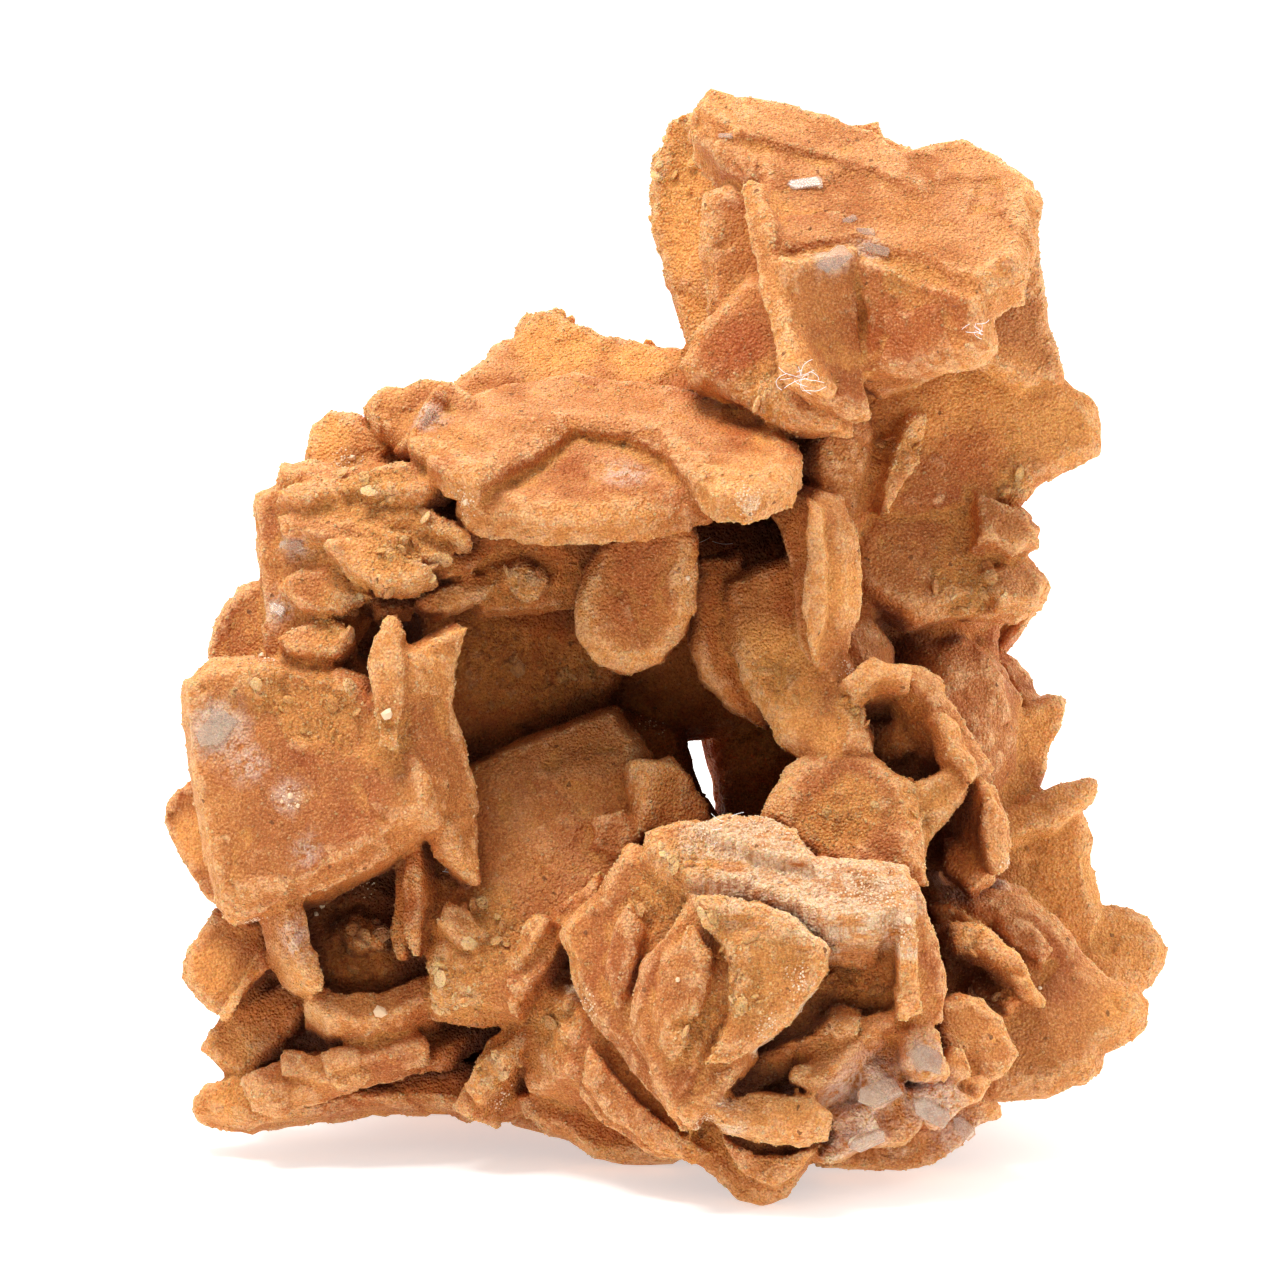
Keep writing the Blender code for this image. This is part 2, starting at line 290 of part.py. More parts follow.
# Lumps between the blades: middle on the sheet, nearness, and half width, half height, half depth
LUMPS = {
    "crown_heart": ((43.5, 11.5), -0.6, (6.0, 3.6, 4.4)),
    "crown_base": ((44.0, 16.0), 2.2, (5.0, 3.6, 4.4)),
    "neck_heart": ((45.0, 21.6), -4.2, (6.4, 5.2, 4.0)),
    "neck_front": ((42.0, 23.4), 0.6, (2.2, 4.0, 3.0)),
    "column_heart": ((45.6, 28.4), -5.0, (5.4, 5.6, 4.6)),
    "side_heart": ((46.4, 37.0), -4.6, (4.6, 6.4, 4.6)),
    "chute_back": ((42.0, 34.2), -0.8, (2.6, 5.2, 4.2)),
    "shoulder_heart": ((19.2, 27.0), 0.4, (5.6, 4.0, 4.4)),
    "lintel_heart": ((27.2, 25.6), -1.6, (7.4, 3.8, 5.4)),
    "bridge_heart": ((35.6, 22.4), -4.4, (5.2, 3.2, 4.0)),
    "block_heart": ((15.4, 37.6), 0.0, (5.6, 6.6, 5.0)),
    "lower_heart": ((19.6, 48.2), -1.6, (7.2, 5.6, 4.6)),
    "lap_heart": ((27.0, 46.0), -3.0, (6.0, 6.0, 4.6)),
    "middle_heart": ((31.0, 51.6), 2.0, (5.6, 4.6, 6.4)),
    "rosette_heart": ((39.0, 49.4), 5.2, (6.4, 6.8, 6.4)),
    "rosette_back": ((42.4, 46.6), -2.0, (6.0, 5.6, 6.4)),
    "wing_heart": ((48.6, 48.4), -2.4, (4.8, 5.0, 4.6)),
    "ear_back": ((43.2, 41.6), 2.2, (3.0, 3.4, 3.6)),
    "neck_side": ((38.8, 18.8), -0.6, (2.8, 3.0, 3.0)),
    "crown_side": ((38.4, 11.6), -3.4, (3.4, 4.4, 3.4)),
    "foot_heart": ((27.0, 53.0), -6.0, (9.0, 3.0, 6.0)),
    "right_foot_heart": ((42.6, 53.2), -3.0, (5.6, 3.4, 5.4)),
}

# Blades of the back: middle on the sheet, nearness, degrees it faces to the right and up from behind,
# half width and half height, thickness
BACK = {
    "crown_back_plate": ((44.0, 12.0), -6.0, (12, 14), (7.2, 5.2), 2.0),
    "crown_back_low": ((42.0, 15.6), -7.0, (-24, -20), (5.6, 4.4), 1.8),
    "crown_back_fin": ((46.6, 12.8), -7.6, (66, 8), (4.4, 4.8), 1.5),
    "neck_back_plate": ((47.0, 21.8), -7.6, (24, -6), (6.2, 5.4), 2.0),
    "neck_back_left": ((41.2, 21.4), -8.4, (-34, 14), (5.2, 5.0), 1.8),
    "neck_back_fin": ((45.0, 23.4), -10.4, (74, 10), (4.4, 5.2), 1.5),
    "column_back_plate": ((46.4, 29.6), -9.6, (14, -14), (5.6, 5.4), 2.0),
    "column_back_left": ((41.8, 29.4), -10.4, (-40, 4), (4.6, 5.4), 1.8),
    "side_back_plate": ((48.0, 37.0), -9.0, (26, 10), (4.6, 5.6), 2.0),
    "side_back_left": ((43.2, 37.6), -10.4, (-26, -12), (4.6, 5.2), 1.8),
    "wing_back_plate": ((50.2, 47.0), -8.0, (30, -10), (6.0, 5.6), 2.0),
    "wing_back_fin": ((47.6, 46.4), -11.4, (70, 14), (5.0, 5.6), 1.5),
    "rosette_back_plate": ((41.8, 48.6), -10.2, (6, -16), (7.4, 6.4), 2.2),
    "rosette_back_left": ((37.6, 48.6), -11.0, (-36, 6), (5.4, 5.4), 1.8),
    "rosette_back_fin": ((42.6, 50.6), -13.0, (-72, -6), (5.2, 5.2), 1.5),
    "table_back_plate": ((30.0, 23.8), -8.0, (-6, 30), (7.6, 5.0), 2.0),
    "table_back_fin": ((33.6, 25.0), -10.0, (58, 20), (4.8, 4.6), 1.5),
    "table_back_low": ((25.6, 27.4), -9.0, (10, -24), (6.2, 4.6), 1.8),
    "shoulder_back_plate": ((20.6, 27.8), -5.8, (-24, 18), (5.8, 5.4), 2.0),
    "shoulder_back_fin": ((22.0, 29.6), -9.0, (-66, 10), (4.8, 5.6), 1.5),
    "block_back_plate": ((16.6, 37.6), -5.8, (-28, 4), (6.0, 6.2), 2.2),
    "block_back_fin": ((19.2, 38.6), -9.0, (56, -10), (5.4, 5.6), 1.6),
    "block_back_low": ((16.4, 42.4), -7.4, (-18, -28), (5.4, 4.8), 1.8),
    "lower_back_plate": ((19.6, 48.4), -8.0, (-16, -16), (7.0, 5.2), 2.2),
    "lower_back_fin": ((22.0, 49.0), -11.0, (64, 8), (5.4, 5.0), 1.6),
    "lap_back_plate": ((28.6, 46.8), -9.2, (4, 14), (6.6, 6.2), 2.2),
    "lap_back_fin": ((30.4, 49.0), -12.0, (-60, 12), (5.4, 5.6), 1.6),
    "lap_back_low": ((31.6, 50.6), -10.6, (20, -30), (6.0, 4.8), 1.8),
}

# Blades lying under the rose, which it stands on: middle in the rose's frame, half width and half depth,
# thickness
FEET = {
    "front_foot": ((-2.0, 5.0, 1.9), (7.0, 6.6), 3.0),
    "left_foot": ((-10.0, 10.4, 2.0), (7.0, 4.6), 3.2),
    "right_foot": ((9.5, 7.6, 1.9), (6.5, 7.0), 3.0),
}
FOOT_LEAN = math.radians(3)
FREE_SIDES = 11
FREE_WAVE = 0.10


def on_sheet(x, y):
    """The place of a point drawn on the sheet, in millimetres in the rose's frame."""
    return SHEET_AT + RIGHT * (x - SHEET_MIDDLE) + UP * (SHEET_MIDDLE - y)


def in_sight(x, y, nearness):
    """The point seen at (x, y) of the sheet, and that much nearer to the eye than the sheet."""
    ray = on_sheet(x, y) - EYE
    return EYE + ray * (EYE_DISTANCE - nearness) / EYE_DISTANCE


def direction(facing, away=1.0):
    """The way that a face looks when it is turned to the right and up from the eye, or from behind with
    away -1."""
    right, up = (math.radians(angle) for angle in facing)
    level = RIGHT * math.sin(right) - SIGHT * math.cos(right) * away
    return level * math.cos(up) + UP * math.sin(up)


def on_plane(x, y, point, normal):
    """Where the line of sight through (x, y) of the sheet meets a plane."""
    ray = on_sheet(x, y) - EYE
    return EYE + ray * (point - EYE).dot(normal) / ray.dot(normal)


def waved(outline, rng):
    """The outline with a point added in the middle of each long side, a little in or out of line."""
    result = []
    for here, there in zip(outline, outline[1:] + outline[:1]):
        result.append(here)
        side = there - here
        if side.length > LONGEST_SIDE:
            across = Vector((-side.y, side.x)) * rng.uniform(-SIDE_WAVE, SIDE_WAVE)
            result.append(here + side / 2 + across)
    return result


def narrowest(outline):
    """About how wide a flat outline is where it is narrowest."""
    area = abs(sum(a.x * b.y - b.x * a.y for a, b in zip(outline, outline[1:] + outline[:1]))) / 2
    reach = max((a - b).length for a in outline for b in outline)
    return area / reach


def blade(name, points, normal, thickness, rng):
    """A flat crystal: its widest outline is where the points are, and a face is raised in front of it."""
    middle = sum(points, Vector()) / len(points)
    turn = normal.to_track_quat("Z", "Y").to_matrix()
    flat = [(turn.transposed() @ (point - middle)).to_2d() for point in points]
    flat = waved(flat, rng)
    rim = thickness * (1.0 - RISE_SHARE)
    slope = min(WIDEST_SLOPE, narrowest(flat) * SLOPE_SHARE)

    mesh = bmesh.new()
    face = mesh.faces.new([mesh.verts.new((point.x, point.y, -rim)) for point in flat])
    made = bmesh.ops.extrude_face_region(mesh, geom=[face])["geom"]
    raised = [item for item in made if isinstance(item, bmesh.types.BMVert)]
    cap = next(item for item in made if isinstance(item, bmesh.types.BMFace))
    bmesh.ops.translate(mesh, verts=raised, vec=(0.0, 0.0, rim))
    bmesh.ops.recalc_face_normals(mesh, faces=mesh.faces)
    if mesh.calc_volume(signed=True) < 0:
        bmesh.ops.reverse_faces(mesh, faces=mesh.faces)
    slopes = bmesh.ops.inset_region(mesh, faces=[cap], thickness=slope, depth=thickness - rim,
                                    use_even_offset=False, use_boundary=True)["faces"]
    bmesh.ops.triangulate(mesh, faces=slopes)
    mesh.transform(Matrix.Translation(middle) @ turn.to_4x4())
    return finished(name, mesh)


def drawn_blade(name, outline, nearness, facing, thickness, rng):
    """A blade of the front, from its outline on the sheet."""
    x = sum(point[0] for point in outline) / len(outline)
    y = sum(point[1] for point in outline) / len(outline)
    normal = direction(facing)
    middle = in_sight(x, y, nearness)
    points = [on_plane(*point, middle, normal) for point in outline]
    return blade(name, points, normal, thickness, rng)


def round_blade(name, middle, normal, half_sizes, thickness, rng):
    """A free blade with an uneven round outline."""
    turn = normal.to_track_quat("Z", "Y").to_matrix()
    points = []
    for k in range(FREE_SIDES):
        angle = math.tau * (k + rng.uniform(-0.25, 0.25)) / FREE_SIDES
        reach = 1.0 + rng.uniform(-FREE_WAVE, FREE_WAVE)
        flat = Vector((half_sizes[0] * math.cos(angle), half_sizes[1] * math.sin(angle), 0.0)) * reach
        points.append(middle + turn @ flat)
    return blade(name, points, normal, thickness, rng)


def lump(name, place, nearness, half_sizes, rng):
    """An uneven rounded mass of sand and gypsum, which the blades grow from."""
    mesh = bmesh.new()
    bmesh.ops.create_icosphere(mesh, subdivisions=LUMP_DETAIL, radius=1.0)
    for vertex in mesh.verts:
        vertex.co *= 1.0 + rng.uniform(-LUMP_UNEVENNESS, LUMP_UNEVENNESS)
    wide, high, deep = half_sizes
    axes = Matrix((RIGHT * wide, UP * high, -SIGHT * deep)).transposed()
    mesh.transform(Matrix.Translation(in_sight(*place, nearness)) @ axes.to_4x4())
    return finished(name, mesh)


def finished(name, mesh):
    """An object made from a mesh in millimetres."""
    bmesh.ops.recalc_face_normals(mesh, faces=mesh.faces)
    if mesh.calc_volume(signed=True) < 0:
        bmesh.ops.reverse_faces(mesh, faces=mesh.faces)
    mesh.transform(Matrix.Scale(MM, 4))
    data = bpy.data.meshes.new(name)
    mesh.to_mesh(data)
    mesh.free()
    made = bpy.data.objects.new(name, data)
    bpy.context.scene.collection.objects.link(made)
    return made


def evaluated_copy(name, source):
    """A plain object with the shape that another has after its modifiers."""
    graph = bpy.context.evaluated_depsgraph_get()
    data = bpy.data.meshes.new_from_object(source.evaluated_get(graph))
    made = bpy.data.objects.new(name, data)
    bpy.context.scene.collection.objects.link(made)
    return made


def remove(objects):
    for item in objects:
        bpy.data.objects.remove(item)


def joined(first, second):
    """Two solids grown into one, which takes the first one's name."""
    union = first.modifiers.new("grown together", "BOOLEAN")
    union.operation = "UNION"
    union.object = second
    union.solver = "EXACT"
    whole = evaluated_copy("growth", first)
    name = first.name
    remove([first, second])
    whole.name = name
    return whole


def fused(name, pieces):
    """All the pieces grown into one solid: neighbours in the list first, then what they have become."""
    while len(pieces) > 1:
        pairs = [pieces[k:k + 2] for k in range(0, len(pieces), 2)]
        pieces = [joined(*pair) if len(pair) == 2 else pair[0] for pair in pairs]
    pieces[0].name = name
    return pieces[0]


def cut_by(whole, cutter):
    """The object with another taken away from it, which is then removed."""
    cut = whole.modifiers.new("worn away", "BOOLEAN")
    cut.operation = "DIFFERENCE"
    cut.object = cutter
    cut.solver = "EXACT"
    made = evaluated_copy("worn", whole)
    name = whole.name
    remove([whole, cutter])
    made.name = name
    return made


def ground_block():
    """Everything below the level that the rose stands on."""
    bpy.ops.mesh.primitive_cube_add(size=1.0)
    block = bpy.context.object
    block.dimensions = (0.2, 0.2, 0.02)
    block.location = (0.0, 0.0, -0.01)
    bpy.ops.object.transform_apply(location=True, rotation=True, scale=True)
    return block


def shells_of(mesh):
    """The separate closed surfaces of a mesh, each a list of faces."""
    left = set(mesh.faces)
    shells = []
    while left:
        shell, edge_of_search = [], [left.pop()]
        while edge_of_search:
            face = edge_of_search.pop()
            shell.append(face)
            for edge in face.edges:
                for neighbour in edge.link_faces:
                    if neighbour in left:
                        left.remove(neighbour)
                        edge_of_search.append(neighbour)
        shells.append(shell)
    return shells


def shell_volume(shell):
    return sum(face.verts[0].co.dot(face.verts[1].co.cross(face.verts[2].co)) for face in shell) / 6


def solid_stone(whole):
    """The object with its sealed pockets filled and its flat faces plain."""
    mesh = bmesh.new()
    mesh.from_mesh(whole.data)
    bmesh.ops.dissolve_limit(mesh, angle_limit=FLAT_WITHIN, verts=mesh.verts, edges=mesh.edges)
    bmesh.ops.triangulate(mesh, faces=mesh.faces)
    pockets = [face for shell in shells_of(mesh) if shell_volume(shell) < 0 for face in shell]
    bmesh.ops.delete(mesh, geom=pockets, context="FACES")
    mesh.to_mesh(whole.data)
    mesh.free()


def plainer(whole):
    """The object with its smallest slivers of face worn away, until few enough triangles are left."""
    wear = whole.modifiers.new("worn slivers", "DECIMATE")
    wear.ratio = min(1.0, TRIANGLES / len(whole.data.polygons))
    made = evaluated_copy("plainer", whole)
    name = whole.name
    remove([whole])
    made.name = name
    return made


def gypsum_material():
    material = bpy.data.materials.new("sandy gypsum")
    material.use_nodes = True
    shader = material.node_tree.nodes["Principled BSDF"]
    shader.inputs["Base Color"].default_value = GYPSUM
    shader.inputs["Roughness"].default_value = 0.85
    shader.inputs["Metallic"].default_value = 0.0
    return material


def main():
    for item in list(bpy.data.objects):
        bpy.data.objects.remove(item)
    rng = random.Random(SEED)
    pieces = []
    for region in (CROWN, NECK, TABLE, SHOULDER, LEFT_BLOCK, HOLLOW, LOWER_LEFT, ROSETTE, RIGHT_SIDE):
        for name, (outline, nearness, facing, thickness) in region.items():
            pieces.append(drawn_blade(name, outline, nearness, facing, thickness, rng))
    for name, (place, nearness, half_sizes) in LUMPS.items():
        pieces.append(lump(name, place, nearness, half_sizes, rng))
    for name, (place, nearness, facing, half_sizes, thickness) in BACK.items():
        normal = direction(facing, away=-1.0)
        pieces.append(round_blade(name, in_sight(*place, nearness), normal, half_sizes, thickness, rng))
    for name, (middle, half_sizes, thickness) in FEET.items():
        aside = math.sin(rng.uniform(-FOOT_LEAN, FOOT_LEAN))
        ahead = math.sin(rng.uniform(-FOOT_LEAN, FOOT_LEAN))
        lean = Vector((aside, ahead, 1.0))
        pieces.append(round_blade(name, Vector(middle), lean.normalized(), half_sizes, thickness, rng))

    rose = fused("desert_rose", pieces)
    solid_stone(rose)
    rose = cut_by(plainer(rose), ground_block())
    solid_stone(rose)
    rose.data.materials.clear()
    rose.data.materials.append(gypsum_material())
    home = bpy.data.collections.new("desert rose")
    bpy.context.scene.collection.children.link(home)
    home.objects.link(rose)
    bpy.context.scene.collection.objects.unlink(rose)


main()
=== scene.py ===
import itertools
import json
import math
import random

import bmesh
import bpy
import numpy as np
from mathutils import Matrix, Vector
from mathutils.bvhtree import BVHTree

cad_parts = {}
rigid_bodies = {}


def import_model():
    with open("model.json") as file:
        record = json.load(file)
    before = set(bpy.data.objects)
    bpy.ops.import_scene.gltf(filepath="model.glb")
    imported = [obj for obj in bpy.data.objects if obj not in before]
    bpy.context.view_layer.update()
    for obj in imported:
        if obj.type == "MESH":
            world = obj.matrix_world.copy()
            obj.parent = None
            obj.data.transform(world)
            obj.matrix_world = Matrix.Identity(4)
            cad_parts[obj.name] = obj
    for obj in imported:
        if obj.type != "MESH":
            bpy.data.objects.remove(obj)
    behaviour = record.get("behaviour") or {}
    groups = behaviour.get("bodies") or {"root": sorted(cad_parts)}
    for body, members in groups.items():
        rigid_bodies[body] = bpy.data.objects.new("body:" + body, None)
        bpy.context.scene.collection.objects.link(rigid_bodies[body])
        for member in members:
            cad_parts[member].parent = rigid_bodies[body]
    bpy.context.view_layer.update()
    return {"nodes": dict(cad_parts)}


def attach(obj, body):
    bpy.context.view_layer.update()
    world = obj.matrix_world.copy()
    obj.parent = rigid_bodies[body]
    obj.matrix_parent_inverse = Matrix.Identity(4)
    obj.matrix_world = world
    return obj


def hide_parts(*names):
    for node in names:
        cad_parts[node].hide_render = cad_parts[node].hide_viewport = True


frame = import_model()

# A desert rose: sandy gypsum blades, with loose sand in their nooks, pale rims from wear and a painted
# highlight, and a few clear plates.
# Lengths are in millimetres where a value has no other unit, and the mesh data is in metres.

MM = 0.001
NODE = "desert_rose"
SEED = 11

# The sheet that the front is drawn on, as in the part: the eye looks at its middle
SHEET_MIDDLE = 32.0
SHEET_AT = Vector((-1.65, 0.0, 25.2))
EYE_DISTANCE = 260.0
EYE_RAISE = math.radians(9.0)
RIGHT = Vector((1.0, 0.0, 0.0))
SIGHT = Vector((0.0, math.cos(EYE_RAISE), -math.sin(EYE_RAISE)))
UP = RIGHT.cross(SIGHT)
EYE = SHEET_AT - SIGHT * EYE_DISTANCE

# The stone's skin: the size of its even cells, and how many triangles it keeps
VOXEL = 0.20
STONE_TRIANGLES = 194000

# Its kinds of unevenness: how high each is, and about how long
SWELL = (0.14, 3.4)
WAVES = (0.06, 1.3)
GRIT = (0.035, 0.52)
FLAKES = (0.09, 2.1)
SERRATION = (0.17, 0.55)
NOTCHES = (0.30, 1.5)
NOOK_SAND = (0.12, 0.8)
CRUST = (0.24, 1.0)
CLODS = (0.10, 0.42)

# How far the flakes and the crust stray from an even pattern, and over what length
STRAY = (0.4, 1.3)

# How deep a full nook and how high a full rim is, and how much every one is sharpened
NOOK_DEPTH = 0.24
RIM_HEIGHT = 0.22
HOLLOW_STEPS = 22
KEENNESS = 0.75
SHARPENED = (-0.35, 0.30)

# Below this level the skin evens out towards the flat foot
FOOT_FADE = 0.8

# Behind this distance from the middle the back is crusted in patches: start, width, patch length
BACK_CRUST = (6.0, 4.0, 9.0)

# For the finish: blurring steps, then how deep a full nook and how high a full rim is, near and wide
NEAR_RELIEF = (5, 0.10, 0.10)
WIDE_RELIEF = (26, 0.35, 0.30)
EDGE_RELIEF = (110, 1.1)

# Rays that look for shelter above each place of the surface, and how far they reach
RAYS = 14
SHELTER_REACH = 14.0
RAY_START = 0.3

# Stone thinner than this lets light through, looked for from a little inside
SEE_THROUGH = 2.4
SEE_THROUGH_START = 0.15

# How much of a painted glow thin places and edges get for light coming through, and how much a glow spot
# takes off the painted shade of a sheltered spot
GLOW_SHARES = (0.70, 0.60)
GLOW_OPENS = 0.5

# How steeply a spot fades from its full middle to its edge
SPOT_STEEPNESS = 1.6


# Places on the front

def in_sight(x, y, nearness=0.0):
    """The point seen at (x, y) of the sheet, and that much nearer to the eye than the sheet."""
    ray = SHEET_AT + RIGHT * (x - SHEET_MIDDLE) + UP * (SHEET_MIDDLE - y) - EYE
    return EYE + ray * (EYE_DISTANCE - nearness) / EYE_DISTANCE


def seen_at(tree, x, y):
    """The place on the stone that is seen at (x, y) of the sheet, in millimetres, and the way it faces."""
    place, facing, _, _ = tree.ray_cast(EYE * MM, (in_sight(x, y) - EYE).normalized())
    return (place / MM, facing) if place else (None, None)


def spots_on(tree, spots):
    """The places on the stone that are seen at spots of the sheet."""
    found = []
    for (x, y), radius in spots:
        place, _ = seen_at(tree, x, y)
        if place:
            found.append((place, radius))
    return found


def facing_way(right, up):
    """The way that a face looks when it is turned that many degrees to the right and up from the eye."""
    right, up = math.radians(right), math.radians(up)
    level = RIGHT * math.sin(right) - SIGHT * math.cos(right)
    return level * math.cos(up) + UP * math.sin(up)


# Numbers for every vertex of a mesh

def vertex_places(mesh):
    places = np.empty(len(mesh.vertices) * 3)
    mesh.vertices.foreach_get("co", places)
    return places.reshape(-1, 3) / MM


def vertex_normals(mesh):
    normals = np.empty(len(mesh.vertices) * 3)
    mesh.vertex_normals.foreach_get("vector", normals)
    return normals.reshape(-1, 3)


def set_places(mesh, places):
    mesh.vertices.foreach_set("co", (places * MM).ravel())
    mesh.update()


def edge_ends(mesh):
    ends = np.empty(len(mesh.edges) * 2, dtype=np.int64)
    mesh.edges.foreach_get("vertices", ends)
    return ends.reshape(-1, 2)


def blurred(values, ends, steps):
    """The values of the vertices, each mixed with its neighbours' that many times."""
    count = len(values)
    neighbours = np.bincount(ends.ravel(), minlength=count)[:, None]
    for _ in range(steps):
        total = np.zeros_like(values)
        for axis in range(values.shape[1]):
            total[:, axis] += np.bincount(ends[:, 0], values[ends[:, 1], axis], count)
            total[:, axis] += np.bincount(ends[:, 1], values[ends[:, 0], axis], count)
        values = 0.5 * values + 0.5 * total / neighbours
    return values


def hollowness(mesh, steps):
    """How deep each vertex lies in a hollow, or with a minus how far it stands out."""
    places = vertex_places(mesh)
    return ((blurred(places, edge_ends(mesh), steps) - places) * vertex_normals(mesh)).sum(axis=1)


# Large odd numbers that scramble a lattice cell's three steps and the seed into one key
SCRAMBLERS = (73856093, 19349663, 83492791, 2654435761)


def scrambled(cells, seed):
    """A number from 0 to 1 for each cell of a lattice, the same every time."""
    key = cells[:, 0] * SCRAMBLERS[0] + cells[:, 1] * SCRAMBLERS[1] + cells[:, 2] * SCRAMBLERS[2]
    key = key + seed * SCRAMBLERS[3]
    key = (key ^ (key >> 13)) & 0xFFFFFFFF
    key = (key * 1274126177) & 0xFFFFFFFF
    key = (key ^ (key >> 16)) & 0xFFFF
    return key / 65535.0


def rolling(places, length, seed):
    """Smooth noise from -1 to 1 whose bumps are about that long."""
    points = places / length + seed * 7.31
    cells = np.floor(points).astype(np.int64)
    inside = points - cells
    fade = inside * inside * (3.0 - 2.0 * inside)
    total = np.zeros(len(places))
    for corner in itertools.product((0, 1), repeat=3):
        share = np.prod(np.where(np.array(corner), fade, 1.0 - fade), axis=1)
        total += share * scrambled(cells + np.array(corner), seed)
    return 2.0 * total - 1.0


def patchy(places, length, seed):
    """Patches from 0 to 1, the largest about that long, with finer ones in them."""
    total = np.zeros(len(places))
    for octave in range(3):
        total += 0.5 ** octave * rolling(places, length / 2 ** octave, seed + octave)
    return np.clip(0.5 + 0.5 * total, 0.0, 1.0)


def flaky(places, length, seed):
    """Steps between flat flakes about that long: each place has the level of its nearest flake."""
    points = places / length
    cells = np.floor(points).astype(np.int64)
    nearest = np.full(len(places), 9.0)
    level = np.zeros(len(places))
    for step in itertools.product((-1, 0, 1), repeat=3):
        there = cells + np.array(step)
        centre = there + np.stack([scrambled(there, seed + axis) for axis in range(3)], axis=1)
        distance = np.linalg.norm(points - centre, axis=1)
        closer = distance < nearest
        level = np.where(closer, scrambled(there, seed + 5), level)
        nearest = np.minimum(nearest, distance)
    return 2.0 * level - 1.0


def near_spots(places, spots):
    """1 in the middle of each spot ((x, y, z), radius), falling to 0 at its edge."""
    most = np.zeros(len(places))
    for middle, radius in spots:
        distance = np.linalg.norm(places - np.array(middle), axis=1)
        most = np.maximum(most, np.clip(SPOT_STEEPNESS * (1.0 - distance / radius), 0.0, 1.0))
    return most


def keep_numbers(mesh, name, values):
    """Stores a number for every vertex, which a material or a tree of nodes reads by its name."""
    attribute = mesh.attributes.new(name, "FLOAT", "POINT")
    attribute.data.foreach_set("value", values.astype(np.float32))


# Objects

def add_object(name, data):
    made = bpy.data.objects.new(name, data)
    bpy.context.scene.collection.objects.link(made)
    return made


def made_plain(worker, name):
    """A plain object of what another looks like with its modifiers, in place of that one."""
    graph = bpy.context.evaluated_depsgraph_get()
    mesh = bpy.data.meshes.new_from_object(worker.evaluated_get(graph))
    bpy.data.objects.remove(worker)
    mesh.name = name
    return add_object(name, mesh)


def belongs(piece):
    """The piece rides on the rose, attached to its root body."""
    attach(piece, "root")
    return piece


def join_rows(form, rows):
    """A closed skin over rows of as many corners each, with its two ends."""
    faces = []
    for low, high in zip(rows, rows[1:]):
        for k in range(len(low)):
            after = (k + 1) % len(low)
            faces.append(form.faces.new((low[k], low[after], high[after], high[k])))
    faces.append(form.faces.new(rows[-1]))
    faces.append(form.faces.new(rows[0][::-1]))
    return faces


# The stone

